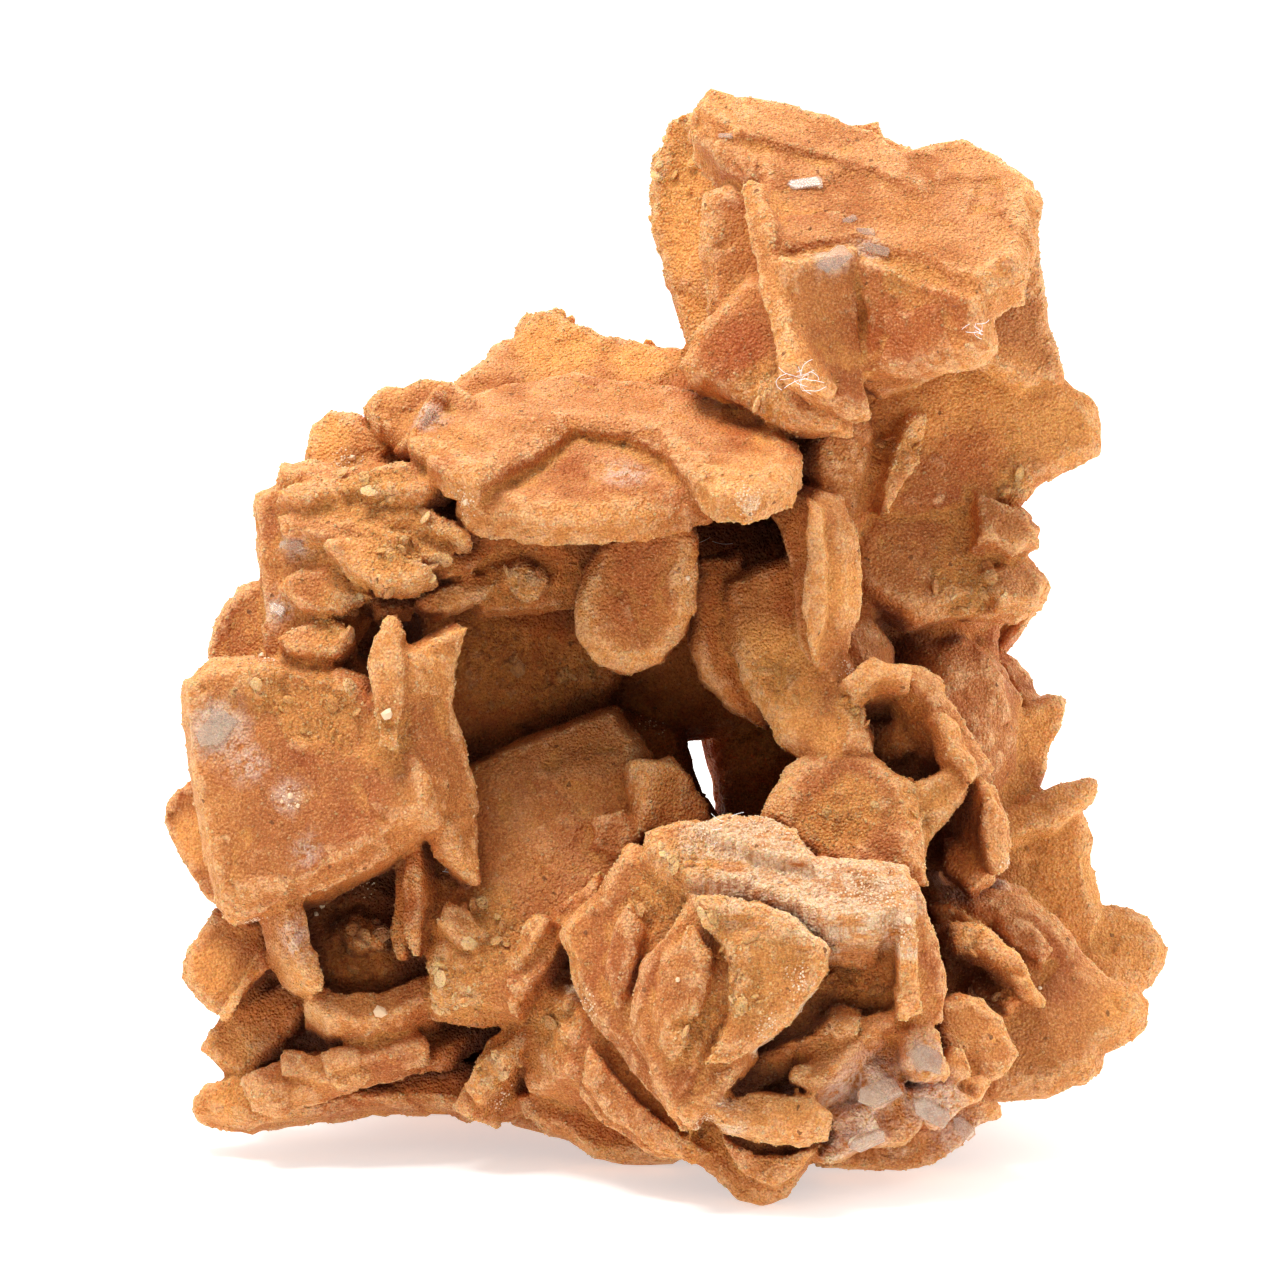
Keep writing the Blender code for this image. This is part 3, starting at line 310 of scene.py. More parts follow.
# Thin blades grown on the others: outline on the sheet, how far they stand out from what is
# behind them, degrees they face to the right and up, thickness
THIN_BLADES = [
    ([(35.6, 54.0), (37.4, 52.9), (39.6, 52.0), (41.6, 51.2), (42.9, 51.3), (42.4, 52.3), (40.6, 53.4),
      (38.6, 54.3), (36.6, 54.9)], 0.8, (-8, -24), 0.8),
    ([(33.0, 47.6), (34.6, 46.4), (35.4, 47.6), (35.2, 49.6), (34.6, 51.4), (33.6, 53.0), (32.9, 52.2),
      (32.6, 50.2)], 0.5, (-30, 6), 0.8),
    ([(29.4, 52.2), (30.6, 53.6), (32.0, 55.2), (33.8, 56.6), (35.6, 57.6), (34.6, 58.2), (32.4, 57.2),
      (30.4, 55.6), (29.2, 54.0)], 0.5, (-16, 10), 0.7),
    ([(36.0, 56.8), (37.6, 57.6), (39.4, 57.8), (40.6, 57.4), (40.2, 58.6), (38.8, 59.4),
      (37.2, 58.8)], 0.5, (0, 0), 0.7),
    ([(43.0, 53.2), (44.6, 52.9), (45.4, 54.6), (43.8, 55.4)], 0.5, (30, 20), 0.7),
    ([(45.6, 54.6), (47.4, 54.2), (48.6, 55.0), (46.6, 56.4)], 0.5, (10, -20), 0.7),
    ([(41.4, 55.6), (43.2, 55.2), (44.0, 56.8), (42.0, 57.8)], 0.5, (-14, -10), 0.7),
    ([(26.7, 45.6), (27.3, 46.0), (26.6, 47.6), (25.6, 49.2), (24.9, 50.2), (24.6, 49.6),
      (25.6, 47.6)], 0.6, (-40, 10), 0.9),
    ([(22.4, 45.0), (23.6, 45.6), (24.6, 47.0), (24.0, 48.0), (22.8, 47.0), (22.0, 46.0)], 0.5,
      (20, 20), 0.7),
    ([(16.6, 46.2), (18.0, 45.6), (19.4, 46.2), (19.0, 47.2), (17.4, 47.6)], 0.5, (-20, 30), 0.7),
    ([(16.0, 52.6), (18.4, 51.9), (21.0, 51.6), (21.4, 52.4), (18.6, 53.0), (16.4, 53.4)], 0.7,
      (-6, 44), 0.6),
    ([(15.2, 26.6), (17.0, 26.0), (19.0, 26.3), (20.4, 27.1), (19.0, 27.4), (17.0, 27.2)], 0.5,
      (-4, 34), 0.6),
    ([(17.8, 29.4), (19.6, 29.8), (21.2, 29.6), (20.6, 30.6), (18.8, 30.8)], 0.6, (6, 24), 0.6),
    ([(21.4, 27.6), (23.0, 27.2), (24.4, 27.6), (23.6, 28.6), (22.0, 28.8)], 0.5, (14, 20), 0.6),
    ([(24.8, 28.4), (26.2, 28.0), (27.4, 28.9), (26.4, 30.0), (25.0, 29.6)], 0.6, (-10, 6), 0.6),
    ([(47.4, 42.0), (49.0, 41.8), (49.6, 43.6), (48.4, 44.6), (47.2, 43.4)], 0.6, (-14, 20), 0.7),
    ([(48.0, 47.6), (49.6, 48.2), (51.0, 49.6), (50.4, 50.4), (48.8, 49.6), (47.6, 48.6)], 0.5,
      (-10, 30), 0.6),
    ([(50.0, 45.6), (51.6, 46.2), (52.8, 47.4), (52.2, 48.2), (50.8, 47.4), (49.8, 46.6)], 0.5,
      (10, 26), 0.6),
    ([(29.6, 41.0), (31.2, 40.6), (32.0, 41.8), (31.0, 43.2), (29.6, 42.4)], 0.5, (-8, 16), 0.7),
    ([(43.4, 36.2), (44.8, 36.0), (45.6, 37.4), (44.6, 38.4), (43.4, 37.6)], 0.6, (-14, 14), 0.7),
    ([(40.3, 24.8), (41.0, 25.4), (41.3, 28.0), (41.2, 31.0), (40.6, 33.2), (40.2, 31.0),
      (40.4, 28.0)], 1.0, (-20, 4), 0.8),
    ([(42.2, 34.0), (43.6, 33.1), (45.4, 33.3), (45.6, 34.0), (44.0, 33.9), (42.8, 34.7)], 0.7,
      (6, 30), 0.7),
    ([(47.0, 35.6), (47.8, 36.4), (48.9, 38.6), (48.6, 39.2), (47.6, 37.8)], 0.7, (30, 20), 0.7),
    ([(20.3, 42.6), (21.0, 42.4), (21.2, 45.2), (20.8, 47.8), (20.2, 46.6)], 0.7, (-30, 4), 0.8),
    ([(25.0, 49.6), (26.8, 47.4), (28.4, 45.6), (29.0, 45.9), (27.4, 48.2), (25.6, 50.4)], 0.6,
      (-20, 24), 0.8),
    ([(23.2, 54.2), (24.6, 52.6), (26.4, 51.2), (26.9, 51.6), (25.4, 53.4), (23.8, 55.0)], 0.6,
      (-14, 20), 0.8),
    ([(14.2, 52.6), (17.4, 53.2), (20.2, 52.4), (20.0, 53.2), (17.0, 54.2), (14.2, 53.6)], 0.6,
      (0, 34), 0.8),
    ([(47.0, 46.0), (48.8, 46.4), (50.8, 47.6), (51.6, 48.6), (50.0, 48.2), (48.0, 47.2)], 0.7,
      (4, 30), 0.7),
    ([(53.2, 36.2), (54.2, 35.6), (54.8, 37.0), (54.0, 38.6), (53.0, 37.8)], 0.5, (-20, 10), 0.7),
    ([(30.6, 46.2), (31.4, 45.0), (32.0, 46.4), (31.6, 48.8), (30.8, 50.6), (30.2, 48.6)], 0.5,
      (-34, 6), 0.8),
    ([(49.3, 39.4), (50.2, 41.0), (50.3, 43.2), (49.7, 43.6), (49.3, 41.4)], 0.6, (30, 6), 0.7),
]
# How high a thin blade's bevel is, and how wide the face that it leaves
BLADE_BEVEL = 0.22
BLADE_TAPER = 0.72

# Where the front is crusted with lumpy sand: places on the sheet, and how far each spreads
CRUST_SPOTS = [
    ((36.4, 46.6), 2.6), ((37.0, 49.4), 2.4), ((33.4, 45.4), 2.6), ((34.6, 43.0), 2.0), ((39.4, 47.4), 2.0),
    ((35.0, 51.6), 2.2), ((40.6, 51.0), 2.0), ((42.6, 49.6), 2.6), ((38.6, 54.0), 1.6), ((42.4, 40.4), 2.6),
    ((40.6, 42.0), 1.8), ((16.0, 35.4), 3.0), ((19.0, 36.8), 2.2), ((13.4, 34.0), 2.0), ((18.0, 47.0), 3.0),
    ((22.4, 49.6), 2.6), ((25.2, 47.4), 2.6), ((24.6, 53.0), 2.4), ((28.0, 51.0), 2.4), ((18.6, 24.6), 3.0),
    ((21.0, 27.6), 3.0), ((17.4, 30.6), 2.4), ((25.6, 29.0), 2.6), ((28.6, 29.6), 1.8), ((24.6, 33.0), 3.2),
    ((28.2, 34.2), 2.6), ((38.0, 19.6), 2.4), ((45.4, 22.6), 1.8), ((48.4, 29.6), 2.4), ((46.0, 40.2), 2.4),
    ((44.6, 37.4), 2.0), ((47.6, 46.4), 2.6), ((49.0, 49.0), 2.0), ((43.0, 35.2), 1.6), ((39.0, 34.0), 2.2),
    ((24.4, 45.4), 2.0), ((50.6, 24.4), 1.4), ((45.0, 14.0), 1.2),
]


def add_thin_blades(form):
    """Adds the thin blades to a mesh in metres, each set on what is behind it."""
    tree = BVHTree.FromBMesh(form)
    for outline, lift, facing, thickness in THIN_BLADES:
        x = sum(point[0] for point in outline) / len(outline)
        y = sum(point[1] for point in outline) / len(outline)
        place, _ = seen_at(tree, x, y)
        if not place:
            continue
        normal = facing_way(*facing)
        middle = place - SIGHT * lift
        rim = []
        for point in outline:
            ray = in_sight(*point) - EYE
            rim.append(EYE + ray * (middle - EYE).dot(normal) / ray.dot(normal))
        centre = sum(rim, Vector()) / len(rim)
        rows = []
        for level, share in ((-lift - thickness, 1.0), (0.0, 1.0), (BLADE_BEVEL, BLADE_TAPER)):
            row = []
            for point in rim:
                row.append(form.verts.new((centre + (point - centre) * share + normal * level) * MM))
            rows.append(row)
        bmesh.ops.recalc_face_normals(form, faces=join_rows(form, rows))


def crusty(tree, places):
    """1 where the stone is crusted with sand, 0 where its faces are plain."""
    start, width, patch = BACK_CRUST
    behind = np.clip((places[:, 1] - start) / width, 0.0, 1.0)
    behind = np.clip(2.0 * rolling(places, patch, 21), 0.0, 1.0) * behind
    return np.maximum(near_spots(places, spots_on(tree, CRUST_SPOTS)), behind)


def grown_form():
    """The rose's solid with the thin blades on it, as an even skin, and a tree for rays to meet it."""
    form = bmesh.new()
    form.from_mesh(frame["nodes"][NODE].data)
    bmesh.ops.remove_doubles(form, verts=form.verts, dist=1e-7)
    add_thin_blades(form)
    tree = BVHTree.FromBMesh(form)
    mesh = bpy.data.meshes.new("blades")
    form.to_mesh(mesh)
    form.free()
    worker = add_object("blades", mesh)
    remesh = worker.modifiers.new("even skin", "REMESH")
    remesh.mode = "VOXEL"
    remesh.voxel_size = VOXEL * MM
    return made_plain(worker, "grown_blades"), tree


def unevenness(mesh, tree):
    """How high each vertex of the even skin rises: flaked faces, ragged rims and sand lying in its nooks."""
    places = vertex_places(mesh)
    depth = hollowness(mesh, HOLLOW_STEPS)
    rim = np.clip(-depth / RIM_HEIGHT, 0.0, 1.0)
    nook = np.clip(depth / NOOK_DEPTH, 0.0, 1.0)
    strays = [rolling(places, STRAY[1], seed) for seed in (5, 6, 7)]
    strayed = places + STRAY[0] * np.stack(strays, axis=1)
    relief = SWELL[0] * rolling(places, SWELL[1], 1)
    relief += WAVES[0] * rolling(places, WAVES[1], 2)
    relief += GRIT[0] * rolling(places, GRIT[1], 3)
    relief += FLAKES[0] * flaky(strayed, FLAKES[1], 11) * (1.0 - nook)
    relief += SERRATION[0] * rim * (rolling(places, SERRATION[1], 4) - 0.2)
    relief += NOTCHES[0] * rim * np.minimum(rolling(places, NOTCHES[1], 9) + 0.25, 0.0)
    relief += NOOK_SAND[0] * nook * (0.4 + 0.9 * rolling(places, NOOK_SAND[1], 8))
    relief -= KEENNESS * np.clip(depth, *SHARPENED)
    crust = crusty(tree, places)
    relief += CRUST[0] * crust * rolling(strayed, CRUST[1], 10)
    relief += CLODS[0] * np.clip(crust + 0.8 * nook + 0.15, 0.0, 1.0) * rolling(places, CLODS[1], 12)
    return relief


def weathered_stone():
    """The rose's solid with a grown and worn surface."""
    stone, tree = grown_form()
    mesh = stone.data
    places = vertex_places(mesh)
    outward = vertex_normals(mesh)
    relief = unevenness(mesh, tree)
    footing = np.clip(places[:, 2] / FOOT_FADE, 0.0, 1.0)
    places = places + outward * (relief * footing)[:, None]
    places[:, 2] = np.maximum(places[:, 2], 0.0)
    set_places(mesh, places)

    triangles = sum(polygon.loop_total - 2 for polygon in mesh.polygons)
    decimate = stone.modifiers.new("lighter skin", "DECIMATE")
    decimate.ratio = min(1.0, STONE_TRIANGLES / triangles)
    stone = made_plain(stone, "sandy_gypsum_blades")
    stone.data.validate()
    stone.data.polygons.foreach_set("use_smooth", np.ones(len(stone.data.polygons), dtype=bool))
    return stone


# What the finish follows

# Where the stone is broken to a cream face, and where it is glassy
CREAM_SPOTS = [
    ((38.6, 43.8), 4.6), ((43.4, 44.6), 3.4), ((36.2, 41.8), 2.8), ((40.6, 46.4), 2.4), ((45.6, 44.2), 1.8),
    ((40.2, 50.2), 1.0), ((38.2, 52.2), 0.9), ((36.4, 56.0), 1.3), ((45.4, 47.0), 1.2), ((37.6, 25.3), 0.7),
    ((10.7, 36.2), 1.1), ((43.4, 56.8), 1.0), ((45.0, 57.4), 0.8), ((41.6, 57.6), 0.8), ((28.7, 49.6), 0.6),
]
GLASSY_SPOTS = [
    ((43.6, 54.6), 2.6), ((46.6, 55.2), 2.2), ((43.2, 57.0), 2.0), ((41.8, 54.6), 1.2), ((46.2, 52.8), 1.3),
    ((14.7, 27.2), 1.0), ((13.9, 30.4), 1.1), ((10.9, 36.5), 2.0), ((12.4, 38.2), 1.2), ((14.4, 39.8), 1.0),
    ((43.4, 12.5), 0.9), ((41.6, 12.8), 1.2), ((48.0, 57.0), 1.8), ((21.4, 20.8), 1.2), ((14.6, 47.0), 1.3),
    ((31.2, 23.6), 1.4), ((15.4, 42.6), 0.9), ((50.0, 44.0), 0.8),
]

# Where light coming through the stone is painted as a glow
GLOW_SPOTS = [
    ((34.4, 11.0), 5.5), ((34.6, 16.0), 2.6), ((28.0, 17.2), 3.6), ((32.0, 18.0), 2.4), ((53.6, 42.6), 3.6),
    ((56.6, 47.4), 3.6), ((56.4, 50.6), 2.4), ((53.4, 21.4), 3.4), ((38.6, 21.8), 1.6), ((38.4, 20.8), 1.8),
    ((47.4, 18.0), 2.0), ((9.6, 42.0), 2.0), ((10.4, 48.6), 2.2), ((52.6, 36.4), 3.0), ((53.6, 39.8), 2.0),
    ((34.6, 56.6), 2.0), ((11.6, 55.0), 2.0), ((16.2, 21.8), 2.2), ((49.6, 20.4), 4.6), ((53.6, 44.6), 4.6),
    ((37.4, 37.2), 2.6), ((46.0, 20.8), 2.6), ((42.4, 29.6), 2.4), ((41.4, 36.8), 1.6), ((38.6, 33.0), 3.0),
    ((39.2, 35.6), 2.4), ((51.6, 41.8), 2.6), ((35.8, 20.3), 1.8),
]

# Where light that has come through the stone is painted as a red glow on a shaded face
THROUGH_LIGHT_SPOTS = [
    ((46.0, 16.6), 3.4), ((36.8, 17.6), 2.8), ((43.6, 17.0), 1.6), ((48.6, 22.6), 2.4), ((45.6, 37.2), 2.2),
    ((48.6, 41.2), 1.9), ((39.2, 27.6), 1.4), ((39.4, 30.4), 1.4), ((31.8, 30.4), 2.4), ((17.0, 55.0), 2.4),
    ((13.6, 53.2), 2.2), ((35.6, 37.6), 1.4), ((23.6, 52.4), 2.0), ((20.6, 45.4), 1.4), ((36.4, 57.4), 1.8),
    ((27.2, 31.4), 2.0), ((22.0, 23.2), 1.4), ((50.0, 32.0), 1.6), ((29.0, 51.0), 1.6), ((52.4, 38.6), 1.4),
]

# Where pale crumbs lie on the rims
CRUMB_SPOTS = [
    ((18.2, 44.3), 0.6), ((23.2, 25.0), 0.7), ((12.6, 46.0), 0.7), ((37.4, 24.9), 1.0), ((45.3, 44.6), 0.8),
    ((45.2, 46.5), 0.7), ((40.0, 48.9), 0.8), ((38.4, 51.4), 0.7), ((29.4, 50.2), 0.8), ((35.4, 56.0), 0.9),
    ((14.6, 39.9), 0.7), ((13.2, 33.0), 0.7), ((38.4, 41.3), 1.8), ((35.0, 41.3), 1.2), ((43.6, 44.6), 2.0),
    ((17.2, 23.2), 0.8), ((42.4, 33.4), 0.6), ((50.4, 43.2), 0.5), ((32.6, 36.2), 0.6), ((25.0, 54.8), 0.6),
]

MARKS = {"painted_through_light": THROUGH_LIGHT_SPOTS, "cream": CREAM_SPOTS, "glassy": GLASSY_SPOTS, "crumbs": CRUMB_SPOTS}


def ray_fan():
    """Directions spread evenly over the half of space round +Z, more of them near it."""
    fan = []
    for k in range(RAYS):
        height = math.sqrt((k + 0.5) / RAYS)
        around = k * math.pi * (3.0 - math.sqrt(5.0))
        aside = math.sqrt(1.0 - height * height)
        fan.append(Vector((aside * math.cos(around), aside * math.sin(around), height)))
    return fan


def shelter_and_thinness(mesh, tree):
    """For every vertex, how much of the space over it is closed off, and how thin the blade is behind it."""
    fan = ray_fan()
    shelter = np.zeros(len(mesh.vertices))
    thin = np.zeros(len(mesh.vertices))
    for vertex in mesh.vertices:
        outward = vertex.normal.copy()
        turn = outward.to_track_quat("Z", "Y").to_matrix()
        start = vertex.co + outward * RAY_START * MM
        closed = 0.0
        for ray in fan:
            distance = tree.ray_cast(start, turn @ ray, SHELTER_REACH * MM)[3]
            if distance is not None:
                closed += 1.0 - 0.5 * distance / (SHELTER_REACH * MM)
        shelter[vertex.index] = closed / RAYS
        distance = tree.ray_cast(vertex.co - outward * SEE_THROUGH_START * MM, -outward, SEE_THROUGH * MM)[3]
        if distance is not None:
            thin[vertex.index] = 1.0 - distance / (SEE_THROUGH * MM)
    ends = edge_ends(mesh)
    smooth = blurred(np.stack([shelter, thin], axis=1), ends, 3)
    return smooth[:, 0], smooth[:, 1]


def describe_surface(stone, tree):
    """Numbers that the gypsum's finish and the grains follow."""
    mesh = stone.data
    places = vertex_places(mesh)
    near = hollowness(mesh, NEAR_RELIEF[0])
    wide = hollowness(mesh, WIDE_RELIEF[0])
    nook = np.clip(near / NEAR_RELIEF[1], 0.0, 1.0) * 0.5 + np.clip(wide / WIDE_RELIEF[1], 0.0, 1.0) * 0.5
    rim = np.clip(-near / NEAR_RELIEF[2], 0.0, 1.0) * 0.5 + np.clip(-wide / WIDE_RELIEF[2], 0.0, 1.0) * 0.5
    shelter, thin = shelter_and_thinness(mesh, tree)
    lit = near_spots(places, spots_on(tree, GLOW_SPOTS))
    edge = np.clip(-hollowness(mesh, EDGE_RELIEF[0]) / EDGE_RELIEF[1], 0.0, 1.0)
    # Painted glow: light through thin stone, at edges and at glow spots, which the finish paints orange
    glow = np.maximum(lit, GLOW_SHARES[0] * thin + GLOW_SHARES[1] * edge)
    keep_numbers(mesh, "nook", nook)
    keep_numbers(mesh, "rim", rim)
    # How closed in each place is, which the finish paints as shade; a painted glow spot takes some of it off
    keep_numbers(mesh, "shelter", shelter * (1.0 - GLOW_OPENS * lit))
    keep_numbers(mesh, "glow", np.clip(glow, 0.0, 1.0))
    keep_numbers(mesh, "upward", np.clip(vertex_normals(mesh)[:, 2], 0.0, 1.0))
    keep_numbers(mesh, "crust", crusty(tree, places))
    for name, length, seed in (("broad", 5.0, 31), ("rusty", 2.6, 41), ("drift", 1.7, 51)):
        keep_numbers(mesh, name, patchy(places, length, seed))
    for name, spots in MARKS.items():
        keep_numbers(mesh, name, near_spots(places, spots_on(tree, spots)))


# Finishes

class Nodes:
    """A tree of nodes, written one node to a line."""

    def __init__(self, tree):
        self.tree = tree

    def feed(self, socket, value):
        """Sets a socket to a constant, or links another node's socket to it."""
        if isinstance(value, bpy.types.NodeSocket):
            self.tree.links.new(value, socket)
        else:
            socket.default_value = value

    def node(self, kind, feeds=None, **settings):
        """A new node with its settings, and its inputs fed by name or number."""
        made = self.tree.nodes.new(kind)
        for name, value in settings.items():
            setattr(made, name, value)
        for key, value in (feeds or {}).items():
            self.feed(made.inputs[key], value)
        return made

    def worked_out(self, operation, first, second, clamped=False):
        """The two numbers put together by that operation."""
        feeds = {0: first, 1: second}
        return self.node("ShaderNodeMath", feeds, operation=operation, use_clamp=clamped).outputs[0]

    def product(self, first, second):
        return self.worked_out("MULTIPLY", first, second)

    def total(self, first, second, clamped=False):
        return self.worked_out("ADD", first, second, clamped)

    def between(self, value, low, high, smooth=False):
        """0 below low and 1 above high."""
        feeds = {"Value": value, "From Min": low, "From Max": high}
        kind = "SMOOTHSTEP" if smooth else "LINEAR"
        return self.node("ShaderNodeMapRange", feeds, interpolation_type=kind).outputs["Result"]


class Finish(Nodes):
    """A material's tree, round its one shader."""

    def __init__(self, name, **settings):
        self.material = bpy.data.materials.new(name)
        self.material.use_nodes = True
        super().__init__(self.material.node_tree)
        self.shader = self.tree.nodes["Principled BSDF"]
        for socket, value in settings.items():
            self.set(socket.replace("_", " "), value)

    def set(self, socket, value):
        self.feed(self.shader.inputs[socket], value)

    def places(self):
        return self.node("ShaderNodeTexCoord").outputs["Object"]

    def number(self, name):
        return self.node("ShaderNodeAttribute", attribute_name=name).outputs["Fac"]

    def noise(self, length, detail, roughness, along=(1.0, 1.0, 1.0)):
        """Noise whose bumps are about that many millimetres long, drawn out where along is under 1."""
        feeds = {0: self.places(), 1: along}
        stretched = self.node("ShaderNodeVectorMath", feeds, operation="MULTIPLY").outputs[0]
        feeds = {"Vector": stretched, "Scale": 1.0 / (length * MM), "Detail": detail, "Roughness": roughness}
        return self.node("ShaderNodeTexNoise", feeds).outputs["Fac"]

    def cells(self, length, output="Distance"):
        feeds = {"Vector": self.places(), "Scale": 1.0 / (length * MM)}
        return self.node("ShaderNodeTexVoronoi", feeds).outputs[output]

    def band(self, value, low, high):
        """0 below low and 1 above high, easing in and out."""
        return self.between(value, low, high, True)

    def mix(self, share, first, second, blend="MIX"):
        feeds = {0: share, 6: first, 7: second}
        return self.node("ShaderNodeMix", feeds, data_type="RGBA", blend_type=blend).outputs[2]

    def bump(self, height, strength, distance, under=None):
        feeds = {"Strength": strength, "Distance": distance * MM, "Height": height}
        if under is not None:
            feeds["Normal"] = under
        return self.node("ShaderNodeBump", feeds).outputs["Normal"]


CARAMEL = (0.500, 0.160, 0.030, 1.0)
AMBER = (0.620, 0.226, 0.048, 1.0)
DUST_AND_SKY_LIGHT = (0.770, 0.345, 0.125, 1.0)
RUST = (0.420, 0.095, 0.011, 1.0)
GLOWING = (0.960, 0.440, 0.110, 1.0)
GOLD_SAND = (0.740, 0.312, 0.066, 1.0)
BROWN_SAND = (0.190, 0.058, 0.010, 1.0)
# SHADED_ORANGE and the deep brown after it are painted shade; LIT_THROUGH is painted light that came through
# the stone
SHADED_ORANGE = (0.620, 0.160, 0.018, 1.0)
LIT_THROUGH = (0.470, 0.095, 0.008, 1.0)
PAINTED_SHADE_BROWN = (0.150, 0.036, 0.007, 1.0)
CREAM = (0.920, 0.690, 0.450, 1.0)
PALE_GLASS = (0.860, 0.640, 0.500, 1.0)
PALE_WEAR_AND_HIGHLIGHT = (0.960, 0.600, 0.300, 1.0)

GYPSUM_IOR = 1.52
# How the cream break's layers and fibres are drawn out
LAYERED = (0.30, 0.30, 1.2)
FIBROUS = (1.6, 1.6, 0.14)


def faces_colour(finish, open_air):
    """Caramel to amber faces, rusty in patches, paler on top from dust and painted light from above, a
    painted orange glow where light comes through, and painted red light on some shaded faces.
    """
    drift = finish.number("drift")
    colour = finish.mix(finish.band(finish.number("broad"), 0.25, 0.75), CARAMEL, AMBER)
    rusty = finish.band(finish.number("rusty"), 0.45, 0.85)
    colour = finish.mix(finish.product(rusty, 0.70), colour, RUST)
    # Top faces open to the sky are paler: partly dust, partly painted light from above
    dust_and_top_light = finish.product(finish.band(finish.number("upward"), 0.30, 0.90), open_air)
    colour = finish.mix(finish.product(dust_and_top_light, finish.band(drift, 0.10, 0.75)), colour, DUST_AND_SKY_LIGHT)
    # Painted glow: orange where light would come through thin stone and edges, only where open to the sky
    glow = finish.product(finish.band(finish.number("glow"), 0.12, 0.95), open_air)
    colour = finish.mix(finish.product(glow, 0.80), colour, GLOWING)
    # Painted red light that has come through the stone, on the listed shaded faces
    return finish.mix(finish.product(finish.number("painted_through_light"), 0.66), colour, LIT_THROUGH)


def sand_and_shade(finish, colour, shelter, mottle):
    """Golden sand with dark mottling on the crusts and in the nooks, more of it in sheltered places, and
    painted shade in the sheltered hollows: orange-brown, then deep brown.
    """
    sandy = finish.worked_out("MAXIMUM", finish.number("nook"), finish.number("crust"))
    sand = finish.band(finish.total(sandy, finish.product(finish.number("drift"), 0.6)), 0.50, 1.05)
    colour = finish.mix(finish.product(sand, 0.75), colour, GOLD_SAND)
    # Dark mottling on the sand, more where sheltered: partly sand, partly painted shade
    sand_and_painted_shade = finish.band(finish.total(finish.product(sandy, 0.46), shelter), 0.32, 0.95)
    dark = finish.product(finish.band(mottle, 0.45, 0.66), sand_and_painted_shade)
    colour = finish.mix(finish.product(dark, 0.85), colour, BROWN_SAND)
    # Painted shade: orange-brown where half sheltered, deep brown where closed in
    colour = finish.mix(finish.product(finish.band(shelter, 0.22, 0.50), 0.55), colour, SHADED_ORANGE)
    return finish.mix(finish.product(finish.band(shelter, 0.41, 0.77), 0.91), colour, PAINTED_SHADE_BROWN)


def rim_wear_highlight_and_breaks(finish, colour, open_air, mottle, glassy):
    """Pale rims, from wear and from a painted highlight where they are open to the light, the cream break
    with its layers and fibres, and the glassy places.
    """
    # Rims painted paler only where open to the sky: wear with a painted highlight
    rim_wear_and_highlight = finish.product(finish.band(finish.number("rim"), 0.35, 1.0), finish.band(mottle, 0.36, 0.60))
    colour = finish.mix(finish.product(finish.product(rim_wear_and_highlight, open_air), 0.55), colour, PALE_WEAR_AND_HIGHLIGHT)
    layers = finish.band(finish.noise(0.8, 4.0, 0.75, LAYERED), 0.38, 0.56)
    fibrous = finish.band(finish.noise(0.35, 2.0, 0.6, FIBROUS), 0.62, 0.44)
    cream = finish.product(finish.band(finish.number("cream"), 0.05, 0.60), layers)
    cream = finish.product(cream, finish.total(finish.product(fibrous, 0.62), 0.32))
    colour = finish.mix(cream, colour, CREAM)
    return finish.mix(finish.product(glassy, 0.78), colour, PALE_GLASS)


def fine_grain(finish, colour, shelter, open_air):
    """The finest dark grain with painted light glints on open faces, the tones of loose grains, painted paler
    where open and darker where sheltered, and a few dark specks.
    """
    fine = finish.noise(0.11, 2.0, 0.6)
    colour = finish.mix(finish.product(finish.band(fine, 0.62, 0.36), 0.38), colour, RUST, "MULTIPLY")
    # Painted glints: fine light specks, only on faces open to the sky
    bright = finish.product(finish.band(fine, 0.52, 0.74), finish.band(shelter, 0.60, 0.15))
    colour = finish.mix(finish.product(bright, 0.30), colour, PALE_WEAR_AND_HIGHLIGHT)
    # Pale sugar grains, paler on rims, and painted paler where open and darker where sheltered (painted
    # shade)
    sugar_and_painted_light = finish.total(finish.product(finish.band(finish.number("rim"), 0.30, 0.90), 0.42), 0.34)
    sugar_and_painted_light = finish.product(sugar_and_painted_light, finish.total(finish.product(open_air, 0.8), 0.2))
    colour = finish.mix(finish.product(finish.number("tone"), sugar_and_painted_light), colour, PALE_WEAR_AND_HIGHLIGHT)
    parts = finish.node("ShaderNodeSeparateColor", {0: finish.cells(0.20, "Color")})
    speck = finish.band(parts.outputs["Green"], 0.9975, 0.9985)
    return finish.mix(finish.product(speck, 0.8), colour, BROWN_SAND)


